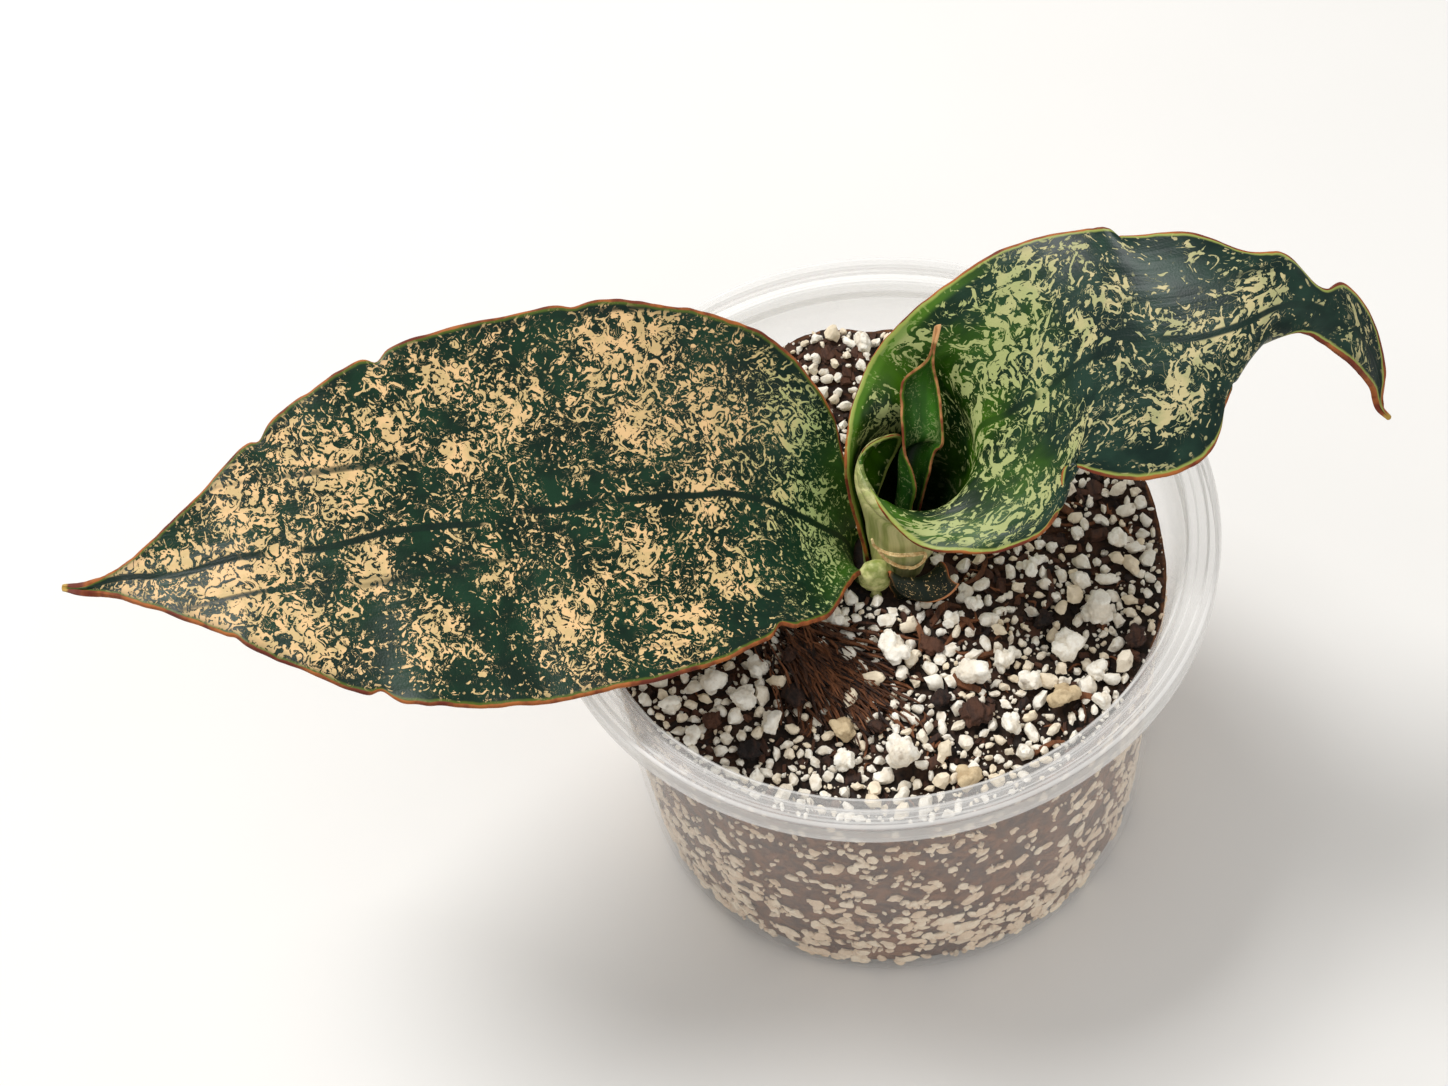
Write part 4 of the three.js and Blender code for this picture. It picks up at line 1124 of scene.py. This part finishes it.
def grainSkin(name, pale, warm, shade, roughness):
    material, tree, skin = newMaterial(name, Roughness=roughness)
    spot = objectCoords(tree)
    tone = useGroup(tree, grainGroup, {"Vector": spot, "Scale": 520.0})
    body = blendColours(tree, band(tree, attributeOf(tree, "grainTone"), 0.45, 0.95), pale, warm)
    body = blendColours(tree, times(tree, band(tree, tone["Tone"], 0.40, 0.66), 0.35), body, shade)
    # painted shade: the creases between the lobes are darkened towards the shade colour
    crease = inverse(tree, band(tree, attributeOf(tree, "crease"), 0.0, 0.45))
    body = blendColours(tree, times(tree, crease, 0.45), body, shade)
    dirt = band(tree, noiseAt(tree, spot, 300.0, 3, 0.6), 0.60, 0.70)
    body = blendColours(tree, times(tree, dirt, 0.4), body, colour(120, 92, 66))
    tree.links.new(body, skin.inputs["Base Color"])
    addBump(tree, skin, tone["Height"], 0.0004, 0.8)
    return material


def barkSkin(name, deep, light):
    material, tree, skin = newMaterial(name, Roughness=0.85)
    spot = objectCoords(tree)
    grain = noiseAt(tree, stretched(tree, spot, (1, 0.3, 1)), 900.0, 4, 0.6, 0.5)
    tone = timesPlus(tree, attributeOf(tree, "grainTone"), 0.35, times(tree, grain, 0.65))
    tree.links.new(blendColours(tree, band(tree, tone, 0.28, 0.72), deep, light), skin.inputs["Base Color"])
    addBump(tree, skin, grain, 0.0006, 0.9)
    return material


perliteSkin = grainSkin("perliteSkin", colour(255, 250, 238), colour(246, 230, 202), colour(214, 196, 168),
                        0.9)
pressedSkin = grainSkin("pressedGrainSkin", colour(255, 238, 212), colour(246, 220, 190),
                        colour(206, 176, 144), 0.9)
pumiceSkin = grainSkin("pumiceSkin", colour(216, 194, 156), colour(200, 172, 128), colour(150, 122, 86),
                       0.92)
barkChipSkin = barkSkin("barkChipSkin", colour(22, 12, 9), colour(88, 54, 36))
coirSkin = barkSkin("coirSkin", colour(30, 14, 8), colour(120, 72, 40))


def fitToBox(piece, node):  # a shape grown to the size of the node it stands for
    low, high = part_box(node)
    low, high = Vector(low), Vector(high)
    points = [vertex.co.copy() for vertex in piece.data.vertices]
    least = Vector([min(p[i] for p in points) for i in range(3)])
    most = Vector([max(p[i] for p in points) for i in range(3)])
    for vertex in piece.data.vertices:
        for i in range(3):
            vertex.co[i] = low[i] + (vertex.co[i] - least[i]) / (most[i] - least[i]) * (high[i] - low[i])
        vertex.co.z -= 0.0005  # beds into the crumbs


def nodeLumps():
    spots = []
    for label, count, slotName, material in (("perlite", 25, "perlite", perliteSkin),
                                             ("pumice", 3, "pumice", pumiceSkin)):
        for i in range(1, count + 1):
            node = f"{label}_{i:02d}"
            lump = lumpyBall(i * 7 + count, 4, 8, 0.14)
            fitToBox(lump, node)
            floatAttribute(lump.data, "grainTone",
                           [0.2 + 0.3 * ((i * 37) % 10) / 10] * len(lump.data.vertices))
            setMaterial(lump, material)
            settle(lump, f"{label}Lump{i:02d}", [node])
            spots.append(node)
    for i in range(1, 12):
        node = f"bark_chip_{i:02d}"
        chip = lumpyBall(i + 300, 4, 3, 0.3)
        for vertex in chip.data.vertices:
            layers = noise.noise(Vector((vertex.co.x * 1.5, vertex.co.y * 1.5, vertex.co.z * 9 + i)))
            pits = noise.noise(vertex.co * 5.5 + Vector((0, i, 0)))
            swell = noise.noise(vertex.co * 2.2 + Vector((i, 0, 0)))
            vertex.co *= 1 + 0.14 * layers + 0.12 * pits + 0.2 * swell
        fitToBox(chip, node)
        floatAttribute(chip.data, "grainTone", [((i * 53) % 10) / 10] * len(chip.data.vertices))
        setMaterial(chip, barkChipSkin)
        settle(chip, f"barkChip{i:02d}", [node])
        spots.append(node)
    taken = []
    for node in spots:
        low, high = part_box(node)
        taken.append(((low[0] + high[0]) / 2 / mm, (low[1] + high[1]) / 2 / mm,
                      (high[0] - low[0]) / 2 / mm))
    return taken


def looseGrains(taken):
    pick = random.Random(grains["seed"])
    reach = tubInnerRadius(mix["level"]) - 0.6
    small = [meshArrays(lumpyBall(k, 2, 6, 0.15)) for k in range(10)]
    simple = [meshArrays(lumpyBall(k + 30, 1, 4, 0.2)) for k in range(6)]
    flatGrains = [meshArrays(lumpyBall(k + 70, 2, 5, 0.35)) for k in range(8)]
    chips = [meshArrays(brokenChip(k + 60)) for k in range(6)]

    def anyTurn():
        way = Vector((pick.gauss(0, 1), pick.gauss(0, 1), pick.gauss(0, 1)))
        return way.normalized().to_track_quat("Z", "Y")

    def flatTurn():
        tilt = Vector((pick.gauss(0, 0.25), pick.gauss(0, 0.25), 1)).normalized().to_track_quat("Z", "Y")
        return tilt @ Matrix.Rotation(pick.uniform(0, math.tau), 3, "Z").to_quaternion()

    def inDark(x, y):
        return max([0] + [keep * math.exp(-(((x - px) ** 2 + (y - py) ** 2) / r ** 2) ** 2)
                          for px, py, r, keep in grains["darkPlaces"]])

    def inBright(x, y):
        return sum(more * math.exp(-(((x - px) ** 2 + (y - py) ** 2) / r ** 2))
                   for px, py, r, more in grains["brightPlaces"])

    def place(count, low, high, roomy, whiteness):
        made = []
        for _ in range(count):
            radius = (reach - high * 0.5) * math.sqrt(pick.random())
            a = pick.uniform(0, math.tau)
            x, y = radius * math.cos(a), radius * math.sin(a)
            half = low + (high - low) * pick.random() ** 1.4
            draw, tone, number = pick.random(), pick.random(), pick.randrange(24)
            turn = anyTurn()
            squash = (half, half * pick.uniform(0.7, 1.0), half * pick.uniform(0.65, 0.9))
            if radius + half > reach or math.hypot(x - 1.6, y - 0.6) < grains["crownClear"]:
                continue
            crowd = 0.5 + 0.9 * noise.noise(Vector((x * 0.09, y * 0.09, 6.0)))
            if draw > (whiteness * (0.45 + crowd + inBright(x, y))) * (1 - inDark(x, y)):
                continue
            if any((x - tx) ** 2 + (y - ty) ** 2 < (roomy * (half + tr)) ** 2 for tx, ty, tr in taken):
                continue
            taken.append((x, y, half))
            z = mixTop(x, y) + mixCrumbs(x, y) - 0.4 + half * (0.35 + 0.5 * tone)
            made.append((x, y, z, squash, turn, tone, number))
        return made

    medium = place(grains["medium"], *grains["mediumHalf"], 0.62, 1.7)
    barkMade = []
    for _ in range(grains["bark"]):
        radius = reach * math.sqrt(pick.random())
        a = pick.uniform(0, math.tau)
        x, y = radius * math.cos(a), radius * math.sin(a)
        half = grains["barkHalf"] + grains["barkSpread"] * pick.random() ** 2
        size = (half, half * pick.uniform(0.35, 0.8), half * pick.uniform(0.25, 0.55))
        turn, tone, number = flatTurn(), pick.random(), pick.randrange(24)
        if radius + half > reach or math.hypot(x - 1.6, y - 0.6) < grains["barkClear"]:
            continue
        if any((x - tx) ** 2 + (y - ty) ** 2 < (0.6 * (half + tr)) ** 2 for tx, ty, tr in taken):
            continue
        taken.append((x, y, half * 0.5))
        barkMade.append((x, y, mixTop(x, y) + mixCrumbs(x, y) - 0.4 + size[2] * 0.7, size, turn, tone,
                         number))
    little = place(grains["small"], *grains["smallHalf"], 0.66, 1.6)
    tiny = place(grains["tiny"], *grains["tinyHalf"], 0.66, 0.6)
    scattered("perliteGrains", small, medium, perliteSkin)
    scattered("perliteSmallGrains", small, little, perliteSkin)
    scattered("perliteGrit", simple, tiny, perliteSkin)
    scattered("barkCrumbs", chips, barkMade, barkChipSkin)
    print("grains", len(medium), len(little), len(tiny), "bark", len(barkMade))

    pressed = []
    for _ in range(grains["pressed"]):
        a = pick.uniform(0, math.tau)
        top = mixTop(50 * math.cos(a), 50 * math.sin(a)) - 1.5
        z = tub["corner"] * 0.6 + (top - tub["corner"] * 0.6) * pick.random()
        half = (0.7 + 2.0 * pick.random() ** 1.6) * (1.15 - 0.45 * z / 60)
        draw, tone = pick.random(), 0.4 + 0.6 * pick.random()
        number, spinBy = pick.randrange(24), pick.uniform(0, math.tau)
        size = (half * pick.uniform(0.7, 1.3), half * pick.uniform(0.5, 1.0), min(half, 0.9) * 0.7)
        crowd = 0.5 + 0.9 * noise.noise(Vector((math.cos(a) * 5, math.sin(a) * 5, z * 0.07)))
        if draw > (1.0 - 0.55 * z / 60) * (0.45 + crowd):
            continue
        facing = Vector((math.cos(a), math.sin(a), -0.08)).normalized()
        turn = facing.to_track_quat("Z", "Y") @ Matrix.Rotation(spinBy, 3, "Z").to_quaternion()
        radius = tubInnerRadius(z) - mix["gap"] * 0.3 - size[2] * 0.85
        pressed.append((radius * math.cos(a), radius * math.sin(a), z, size, turn, tone, number))
    scattered("perliteAgainstWall", flatGrains, pressed, pressedSkin)
    print("pressed grains", len(pressed))

    fibres = []
    strands = [meshArrays(bentStrand(k)) for k in range(8)]
    for i in range(grains["fibres"]):
        inClump = i < grains["fibres"] * 0.6
        if i >= grains["fibres"] - grains["bigSticks"]:  # a few bigger sticks
            x, y = pick.gauss(0, 24), pick.gauss(-10, 22)
            length, wide, lift = pick.uniform(4.0, 8.5), pick.uniform(0.4, 0.7), 0.8
            heading = pick.uniform(0, math.tau)
        elif inClump:  # a torn piece of husk whose fibres lie side by side
            along, aside = pick.gauss(0, 5.0), pick.gauss(0, 3.6)
            x, y = -11.5 + along * 0.62 + aside * 0.78, -20 - along * 0.78 + aside * 0.62
            length, wide, lift = pick.uniform(4.0, 9.5), pick.uniform(0.1, 0.26), pick.uniform(0.0, 2.2)
            heading = math.radians(-58 + pick.gauss(0, 11) + 3 * aside)
        else:
            x, y = pick.gauss(0, 26), pick.gauss(-4, 26)
            length, wide, lift = pick.uniform(1.2, 4.5), pick.uniform(0.12, 0.3), pick.uniform(-0.2, 0.6)
            heading = pick.uniform(0, math.tau)
        size = (length / 2, wide, wide * pick.uniform(0.5, 0.9))
        turn = Euler((pick.gauss(0, 0.1), pick.gauss(0, 0.16), heading)).to_quaternion()
        tone, number = pick.random(), pick.randrange(8)
        if math.hypot(x, y) + length / 2 > reach or math.hypot(x - 1.6, y + 0.6) < grains["fibreClear"]:
            continue
        fibres.append((x, y, mixTop(x, y) + mixCrumbs(x, y) + lift, size, turn, tone, number))
    scattered("coirFibres", strands, fibres, coirSkin)


looseGrains(nodeLumps())
print("made grains, chips and fibres")
